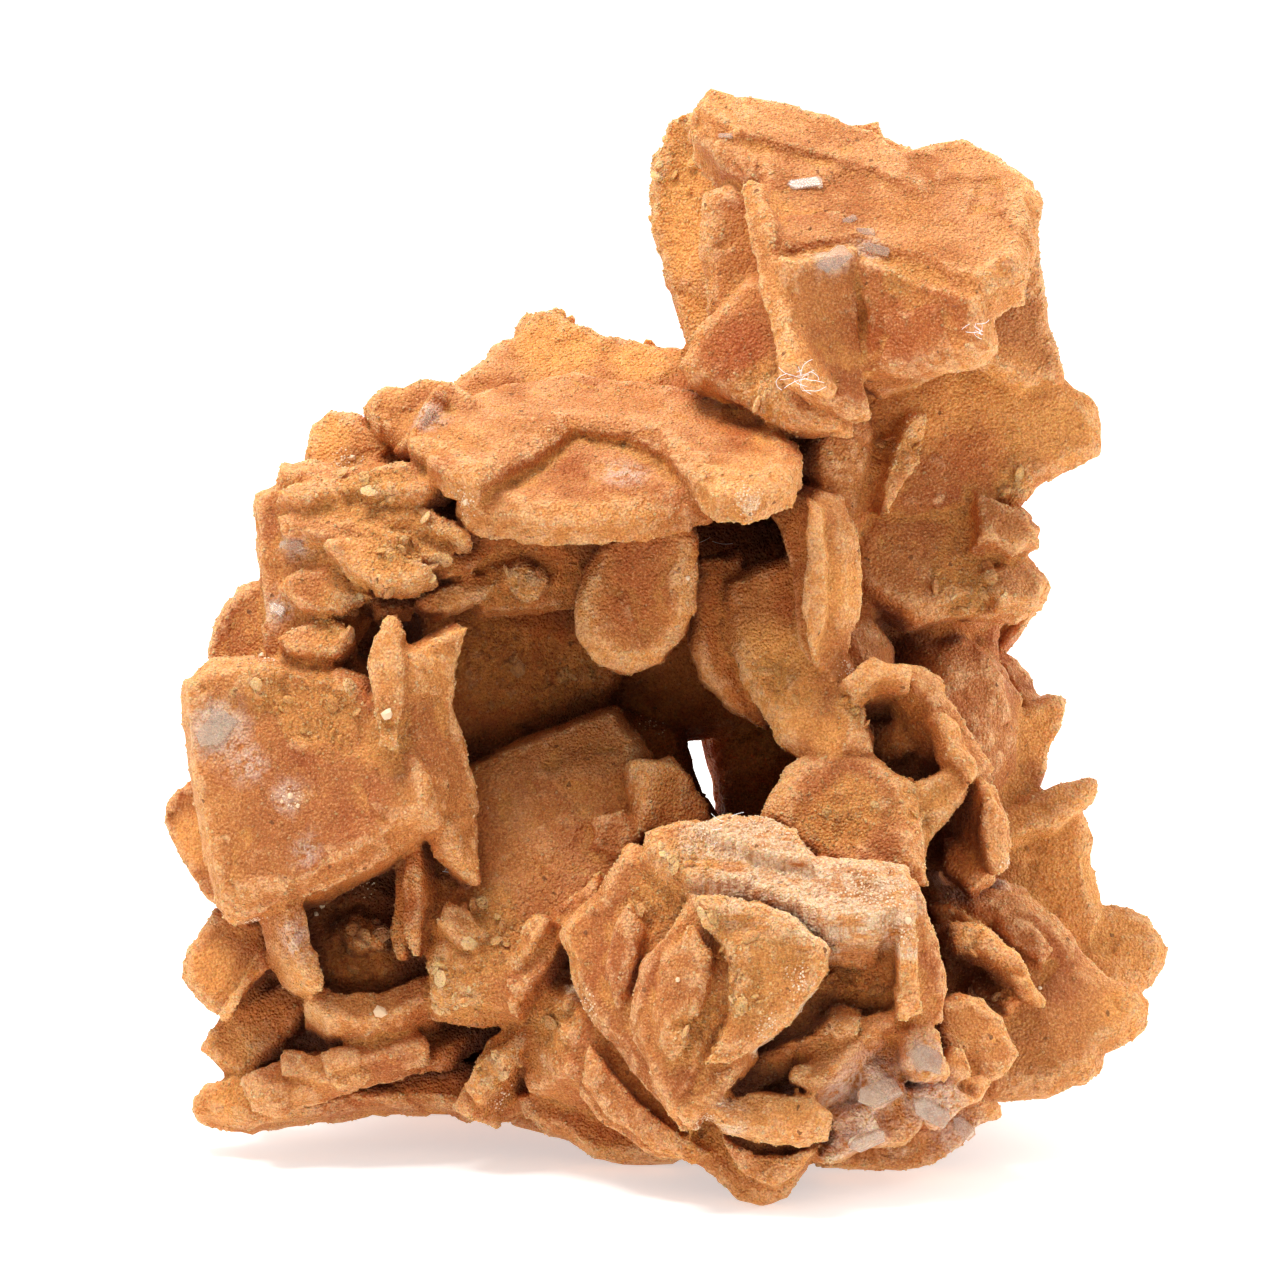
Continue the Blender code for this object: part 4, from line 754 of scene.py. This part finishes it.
def gypsum_finish():
    """Sandy gypsum, which the loose grains on it wear too."""
    finish = Finish("sandy gypsum", IOR=GYPSUM_IOR, Specular_IOR_Level=0.35, Subsurface_Weight=0.36,
                    Subsurface_Radius=(1.0, 0.36, 0.10), Subsurface_Scale=1.2 * MM)
    shelter = finish.number("shelter")
    # How open each place is to the sky; the painted light and highlights below follow it
    open_air = finish.band(shelter, 0.62, 0.20)
    mottle = finish.noise(0.55, 3.0, 0.70)
    glassy = finish.product(finish.number("glassy"), finish.band(mottle, 0.34, 0.56))
    colour = faces_colour(finish, open_air)
    colour = sand_and_shade(finish, colour, shelter, mottle)
    colour = rim_wear_highlight_and_breaks(finish, colour, open_air, mottle, glassy)
    finish.set("Base Color", fine_grain(finish, colour, shelter, open_air))
    finish.set("Roughness", finish.mix(glassy, (0.66, 0.66, 0.66, 1.0), (0.32, 0.32, 0.32, 1.0)))
    coarse = finish.bump(mottle, 0.90, 0.30)
    finish.set("Normal", finish.bump(finish.between(finish.cells(0.15), 0.75, 0.0), 1.00, 0.10, coarse))
    return finish.material


def grain_finish(name, light, dark):
    """Loose pale grains, each its own tone between two colours."""
    finish = Finish(name, Roughness=0.35)
    finish.set("Base Color", finish.mix(finish.number("tone"), dark, light))
    return finish.material


def clear_finish():
    """Clear selenite, a little milky."""
    finish = Finish("clear selenite", Base_Color=(1.00, 0.86, 0.70, 1.0), Roughness=0.17, IOR=GYPSUM_IOR,
                    Transmission_Weight=0.76)
    return finish.material


# Grains, strewn by Geometry Nodes

class Strewing(Nodes):
    """A tree that strews a small solid over the piece it is on, with named inputs for its sizes."""

    def __init__(self, name, inputs):
        super().__init__(bpy.data.node_groups.new(name, "GeometryNodeTree"))
        face = self.tree.interface
        face.new_socket("Geometry", in_out="INPUT", socket_type="NodeSocketGeometry")
        face.new_socket("Geometry", in_out="OUTPUT", socket_type="NodeSocketGeometry")
        self.ids = {}
        for title, kind in inputs.items():
            socket = face.new_socket(title, in_out="INPUT", socket_type="NodeSocket" + kind)
            self.ids[title] = socket.identifier

    def use_on(self, host, values):
        modifier = host.modifiers.new(self.tree.name, "NODES")
        modifier.node_group = self.tree
        for name, value in values.items():
            modifier[self.ids[name]] = value


# The foot is worn bare of grains below the first level, and has all of them from the second one up
BARE_FOOT = (0.3, 0.9)
# The narrow side of a grain, as a share of its long one
NARROWEST = 0.65

STREWING_INPUTS = {
    "To the square metre": "Float", "Where": "String", "Everywhere": "Float", "Smallest": "Float",
    "Largest": "Float", "Flatness": "Float", "Tilt": "Float", "Sides": "Int", "Rings": "Int", "Seed": "Int",
    "Finish": "Material",
}


def strewn_tree():
    """Small solids, denser where the named number of the surface is high, each turned and sized at random."""
    made = Strewing("strewn grains", STREWING_INPUTS)
    given = made.node("NodeGroupInput").outputs
    where = made.node("GeometryNodeInputNamedAttribute", {"Name": given["Where"]}, data_type="FLOAT")
    share = made.total(where.outputs["Attribute"], given["Everywhere"], True)
    place = made.node("GeometryNodeInputPosition").outputs[0]
    level = made.node("ShaderNodeSeparateXYZ", {0: place}).outputs["Z"]
    kept = made.product(share, made.between(level, BARE_FOOT[0] * MM, BARE_FOOT[1] * MM))
    density = made.product(kept, given["To the square metre"])
    feeds = {"Mesh": given["Geometry"], "Density": density, "Seed": given["Seed"]}
    points = made.node("GeometryNodeDistributePointsOnFaces", feeds)

    feeds = {"Radius": 1.0, "Segments": given["Sides"], "Rings": given["Rings"]}
    ball = made.node("GeometryNodeMeshUVSphere", feeds)

    other_way = made.product(given["Tilt"], -1.0)
    least = made.node("ShaderNodeCombineXYZ", {0: other_way, 1: other_way, 2: -math.pi})
    most = made.node("ShaderNodeCombineXYZ", {0: given["Tilt"], 1: given["Tilt"], 2: math.pi})
    feeds = {0: least.outputs[0], 1: most.outputs[0], "Seed": given["Seed"]}
    turn = made.node("FunctionNodeRandomValue", feeds, data_type="FLOAT_VECTOR")
    feeds = {"Rotation": points.outputs["Rotation"], "Rotate By": turn.outputs[0]}
    rotation = made.node("FunctionNodeRotateEuler", feeds, rotation_type="EULER", space="LOCAL")

    feeds = {2: given["Smallest"], 3: given["Largest"], "Seed": given["Seed"]}
    size = made.node("FunctionNodeRandomValue", feeds, data_type="FLOAT").outputs[1]
    height = made.product(size, given["Flatness"])
    narrow = made.node("FunctionNodeRandomValue", {2: NARROWEST, 3: 1.0}, data_type="FLOAT").outputs[1]
    scale = made.node("ShaderNodeCombineXYZ", {0: size, 1: made.product(size, narrow), 2: height})

    feeds = {"Points": points.outputs["Points"], "Instance": ball.outputs["Mesh"],
             "Rotation": rotation.outputs[0], "Scale": scale.outputs[0]}
    grains = made.node("GeometryNodeInstanceOnPoints", feeds)
    tone = made.node("FunctionNodeRandomValue", data_type="FLOAT").outputs[1]
    feeds = {"Name": "tone", "Geometry": grains.outputs["Instances"], "Value": tone}
    toned = made.node("GeometryNodeStoreNamedAttribute", feeds, data_type="FLOAT", domain="INSTANCE")
    real = made.node("GeometryNodeRealizeInstances", {"Geometry": toned.outputs["Geometry"]})
    feeds = {"Geometry": real.outputs["Geometry"], "Material": given["Finish"]}
    dressed = made.node("GeometryNodeSetMaterial", feeds)
    made.node("NodeGroupOutput", {0: dressed.outputs["Geometry"]})
    return made


def strewn(name, stone, tree, finish, **values):
    """One piece of realized grains on the stone."""
    worker = add_object(name + "_bed", stone.data)
    settings = {key.replace("_", " "): value for key, value in values.items()}
    settings["Finish"] = finish
    tree.use_on(worker, settings)
    return belongs(made_plain(worker, name))


# Clear plates, pale grains and lint, each where it lies on the front

# Middle on the sheet, length, width, degrees it is turned, thickness
CLEAR_PLATES = [
    ((40.3, 9.2), 1.60, 0.60, 4, 0.16), ((43.3, 11.6), 0.90, 0.34, -8, 0.12),
    ((43.9, 12.5), 1.20, 0.46, -16, 0.14), ((42.5, 11.0), 0.70, 0.34, 30, 0.10),
    ((36.3, 6.8), 0.90, 0.24, -28, 0.10), ((21.3, 21.0), 1.50, 0.32, 62, 0.14),
    ((41.7, 13.0), 1.70, 0.90, 38, 0.12), ((44.0, 54.6), 1.90, 1.10, 34, 0.30),
    ((46.4, 53.0), 1.40, 1.20, -8, 0.34), ((46.6, 55.6), 1.80, 0.90, -32, 0.30),
    ((43.4, 57.0), 1.60, 0.80, 14, 0.26), ((48.2, 56.4), 1.20, 0.70, -40, 0.26),
    ((10.9, 36.4), 1.70, 1.30, 52, 0.12), ((14.6, 27.2), 1.00, 0.60, 24, 0.14),
    ((13.9, 30.5), 0.80, 0.55, -30, 0.14),
]
# How far a plate tilts at random, how much of its width a corner takes, and how far it is lifted
PLATE_TILT = 0.42
PLATE_CORNER = 0.28
PLATE_LIFT = 0.05

# Middle on the sheet, radius
PALE_GRAINS = [
    ((19.4, 35.7), 0.34), ((19.0, 50.7), 0.40), ((14.5, 39.8), 0.17), ((14.9, 40.3), 0.13),
    ((14.1, 40.1), 0.11), ((23.3, 25.1), 0.20), ((16.1, 45.3), 0.18), ((15.8, 45.7), 0.14),
    ((17.6, 22.9), 0.20), ((13.1, 32.8), 0.20), ((33.9, 49.0), 0.14), ((52.0, 49.4), 0.12),
    ((34.4, 28.9), 0.14), ((45.4, 46.0), 0.20), ((42.4, 33.3), 0.13),
]
# How far a grain's corners stray, how high it is and how far it is lifted, as shares of its radius
GRAIN_SHAPE = (0.72, 1.14)
GRAIN_HEIGHT = 0.7
GRAIN_LIFT = 0.3

# Middle on the sheet, how many fibres, how far they spread, longest fibre
LINT = [
    ((40.0, 18.9), 14, 1.0, 1.6), ((48.9, 16.6), 9, 0.8, 1.0), ((35.6, 27.0), 2, 0.3, 2.2),
    ((36.5, 41.4), 4, 1.2, 1.2), ((22.2, 43.6), 2, 0.3, 0.9),
]
FIBRE_RADIUS = 0.013
FIBRE_JOINTS = 11
FIBRE_SIDES = 4
FIBRE_LIFT = (0.08, 0.30)
FIBRE_CURL = 0.20
FIBRE_KINK = 0.22


def solid_object(name, form, finish):
    """A piece of the rose made from a mesh in millimetres."""
    bmesh.ops.recalc_face_normals(form, faces=form.faces)
    form.transform(Matrix.Scale(MM, 4))
    mesh = bpy.data.meshes.new(name)
    form.to_mesh(mesh)
    form.free()
    mesh.materials.append(finish)
    return belongs(add_object(name, mesh))


def lying(place, facing, turn, lift):
    """The frame of something that lies on the stone, turned that many degrees from level, and lifted."""
    along = RIGHT - facing * RIGHT.dot(facing)
    along.normalize()
    along = Matrix.Rotation(math.radians(turn), 3, facing) @ along
    across = facing.cross(along)
    axes = Matrix((along, across, facing)).transposed().to_4x4()
    return Matrix.Translation(place + facing * lift) @ axes


def clear_plates(tree, rng):
    """Small clear crystals that lie on the faces, cut off at their corners."""
    form = bmesh.new()
    for (x, y), length, width, turn, thickness in CLEAR_PLATES:
        place, facing = seen_at(tree, x, y)
        if not place:
            continue
        aside = Vector((rng.uniform(-1, 1), rng.uniform(-1, 1), rng.uniform(-1, 1))) * PLATE_TILT
        facing = (facing - SIGHT * 0.5 + aside).normalized()
        corner = PLATE_CORNER * width
        outline = [(length / 2, width / 2 - corner), (length / 2 - corner, width / 2),
                   (-length / 2, width / 2), (-length / 2 - corner, 0.1 * width),
                   (-length / 2 + corner, -width / 2), (length / 2, -width / 2)]
        rows = []
        for share, level in ((1.0, -thickness), (1.0, 0.3 * thickness), (0.86, 0.5 * thickness)):
            row = []
            for a, b in outline:
                row.append(form.verts.new((share * a * rng.uniform(0.95, 1.05), share * b, level)))
            rows.append(row)
        join_rows(form, rows)
        corners = [vertex for row in rows for vertex in row]
        bmesh.ops.transform(form, matrix=lying(place, facing, turn, PLATE_LIFT), verts=corners)
    return solid_object("clear_plates", form, clear_finish())


def pale_grains(tree, rng):
    """Uneven pale grains caught on the stone."""
    form = bmesh.new()
    for (x, y), radius in PALE_GRAINS:
        place, facing = seen_at(tree, x, y)
        if not place:
            continue
        made = bmesh.ops.create_icosphere(form, subdivisions=1, radius=radius)["verts"]
        for vertex in made:
            vertex.co *= rng.uniform(*GRAIN_SHAPE)
            vertex.co.z *= GRAIN_HEIGHT
        bed = lying(place, facing, rng.uniform(0, 360), GRAIN_LIFT * radius)
        bmesh.ops.transform(form, matrix=bed, verts=made)
    finish = grain_finish("pale grain", (0.90, 0.68, 0.44, 1.0), (0.84, 0.60, 0.38, 1.0))
    return solid_object("pale_grains", form, finish)


def fibre(form, points):
    """A thin tube along the points."""
    rows = []
    for k, point in enumerate(points):
        ahead = (points[min(k + 1, len(points) - 1)] - points[max(k - 1, 0)]).normalized()
        turn = ahead.to_track_quat("Z", "Y").to_matrix()
        row = []
        for side in range(FIBRE_SIDES):
            angle = math.tau * side / FIBRE_SIDES
            round_it = Vector((math.cos(angle), math.sin(angle), 0.0)) * FIBRE_RADIUS
            row.append(form.verts.new(point + turn @ round_it))
        rows.append(row)
    join_rows(form, rows)


def lint(tree, rng):
    """Fine white fibres caught on the stone's edges."""
    form = bmesh.new()
    for (x, y), count, spread, longest in LINT:
        place, _ = seen_at(tree, x, y)
        if not place:
            continue
        for _ in range(count):
            point = place - SIGHT * rng.uniform(*FIBRE_LIFT) + RIGHT * rng.gauss(0.0, spread * 0.45)
            point += UP * rng.gauss(0.0, spread * 0.22)
            angle = rng.uniform(0.0, math.tau)
            curl = rng.uniform(-FIBRE_CURL, FIBRE_CURL)
            step = rng.uniform(0.45, 1.0) * longest / FIBRE_JOINTS
            points = [point.copy()]
            for _ in range(FIBRE_JOINTS - 1):
                angle += curl + rng.uniform(-FIBRE_KINK, FIBRE_KINK)
                point = point + (RIGHT * math.cos(angle) + UP * 0.7 * math.sin(angle)) * step
                point -= SIGHT * rng.uniform(-0.01, 0.03)
                points.append(point.copy())
            fibre(form, points)
    finish = Finish("white lint", Base_Color=(0.90, 0.90, 0.93, 1.0), Roughness=0.7)
    return solid_object("lint", form, finish.material)


# The stage

# Soft lamps: place in metres, size, power
LAMPS = {
    "window": ((-0.10, -0.03, 0.38), 0.14, 1.65),
    "side_light": ((0.30, 0.06, 0.12), 0.20, 0.50),
    "back_light": ((0.05, 0.36, 0.20), 0.20, 0.50),
}
LAMP_COLOUR = (1.0, 0.97, 0.92)
LAMPS_AIM = Vector((0.0, 0.0, 0.025))
ROOM_COLOUR = (1.0, 0.99, 0.97, 1.0)
# How strong the room's light is on the eye's side, as a share of the side behind the rose
DIM_SIDE = 0.22
FLOOR_SIZE = 3.0


def add_floor():
    """A plain pale floor."""
    mesh = bpy.data.meshes.new("floor")
    form = bmesh.new()
    bmesh.ops.create_grid(form, x_segments=1, y_segments=1, size=FLOOR_SIZE)
    form.to_mesh(mesh)
    form.free()
    paper = Finish("pale paper", Base_Color=(0.80, 0.80, 0.80, 1.0), Roughness=0.9,
                   Emission_Color=(1.0, 1.0, 1.0, 1.0), Emission_Strength=0.50)
    mesh.materials.append(paper.material)
    add_object("floor", mesh)


def add_eye():
    """The camera, at the eye that the sheet is drawn for."""
    camera = bpy.data.cameras.new("eye")
    camera.angle = 2.0 * math.atan(SHEET_MIDDLE / EYE_DISTANCE)
    camera.clip_start = 0.01
    camera.clip_end = 20.0
    eye = add_object("eye", camera)
    turn = Matrix((RIGHT, UP, -SIGHT)).transposed().to_4x4()
    eye.matrix_world = Matrix.Translation(EYE * MM) @ turn
    bpy.context.scene.camera = eye
    bpy.context.scene.view_settings.view_transform = "Standard"


def add_room():
    """Soft light all round, bright from behind and above and dimmer from the eye's side."""
    room = bpy.data.worlds.new("soft room")
    bpy.context.scene.world = room
    room.use_nodes = True
    made = Nodes(room.node_tree)
    way = made.node("ShaderNodeTexCoord").outputs["Generated"]
    parts = made.node("ShaderNodeSeparateXYZ", {0: way}).outputs
    feeds = {"Value": parts["Y"], "From Min": -0.7, "From Max": 0.5, "To Min": DIM_SIDE}
    behind = made.node("ShaderNodeMapRange", feeds).outputs["Result"]
    above = made.between(parts["Z"], 0.2, 1.0)
    light = made.tree.nodes["Background"]
    made.feed(light.inputs["Color"], ROOM_COLOUR)
    made.feed(light.inputs["Strength"], made.worked_out("MAXIMUM", behind, above))


def add_lamp(name, place, size, power):
    """A soft square lamp that faces the middle of the rose."""
    lamp = bpy.data.lights.new(name, "AREA")
    lamp.size = size
    lamp.energy = power
    lamp.color = LAMP_COLOUR
    away = Vector(place) - LAMPS_AIM
    turn = away.to_track_quat("Z", "Y").to_matrix().to_4x4()
    add_object(name, lamp).matrix_world = Matrix.Translation(place) @ turn


def add_stage():
    """The floor, the light and the eye."""
    add_floor()
    add_room()
    for name, (place, size, power) in LAMPS.items():
        add_lamp(name, place, size, power)
    add_eye()


def strew_grains(stone, gypsum):
    """The loose grains and small blades, as pieces of their own."""
    grains = strewn_tree()
    strewn("golden_sand", stone, grains, gypsum, To_the_square_metre=1.08e7, Where="crust", Everywhere=0.06,
           Smallest=0.04 * MM, Largest=0.12 * MM, Flatness=0.85, Tilt=0.7, Sides=4, Rings=2, Seed=3)
    strewn("orange_sand", stone, grains, gypsum, To_the_square_metre=1.7e6, Where="nook", Everywhere=0.80,
           Smallest=0.03 * MM, Largest=0.085 * MM, Flatness=0.7, Tilt=0.6, Sides=4, Rings=2, Seed=5)
    strewn("rim_sugar", stone, grains, gypsum, To_the_square_metre=9.0e6, Where="rim", Everywhere=-0.36,
           Smallest=0.045 * MM, Largest=0.12 * MM, Flatness=0.8, Tilt=0.9, Sides=4, Rings=2, Seed=7)
    crumbs = grain_finish("pale crumbs", (0.92, 0.76, 0.56, 1.0), (0.80, 0.50, 0.28, 1.0))
    strewn("pale_crumbs", stone, grains, crumbs, To_the_square_metre=7.0e7, Where="crumbs", Everywhere=-0.15,
           Smallest=0.03 * MM, Largest=0.085 * MM, Flatness=0.8, Tilt=0.6, Sides=4, Rings=2, Seed=9)
    strewn("small_blades", stone, grains, gypsum, To_the_square_metre=9.0e5, Where="crust", Everywhere=-0.25,
           Smallest=0.16 * MM, Largest=0.55 * MM, Flatness=0.30, Tilt=1.2, Sides=7, Rings=4, Seed=13)


def main():
    add_stage()
    stone = weathered_stone()
    tree = BVHTree.FromObject(stone, bpy.context.evaluated_depsgraph_get())
    describe_surface(stone, tree)
    gypsum = gypsum_finish()
    stone.data.materials.clear()
    stone.data.materials.append(gypsum)
    belongs(stone)
    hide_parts(NODE)
    strew_grains(stone, gypsum)
    rng = random.Random(SEED)
    clear_plates(tree, rng)
    pale_grains(tree, rng)
    lint(tree, rng)


main()
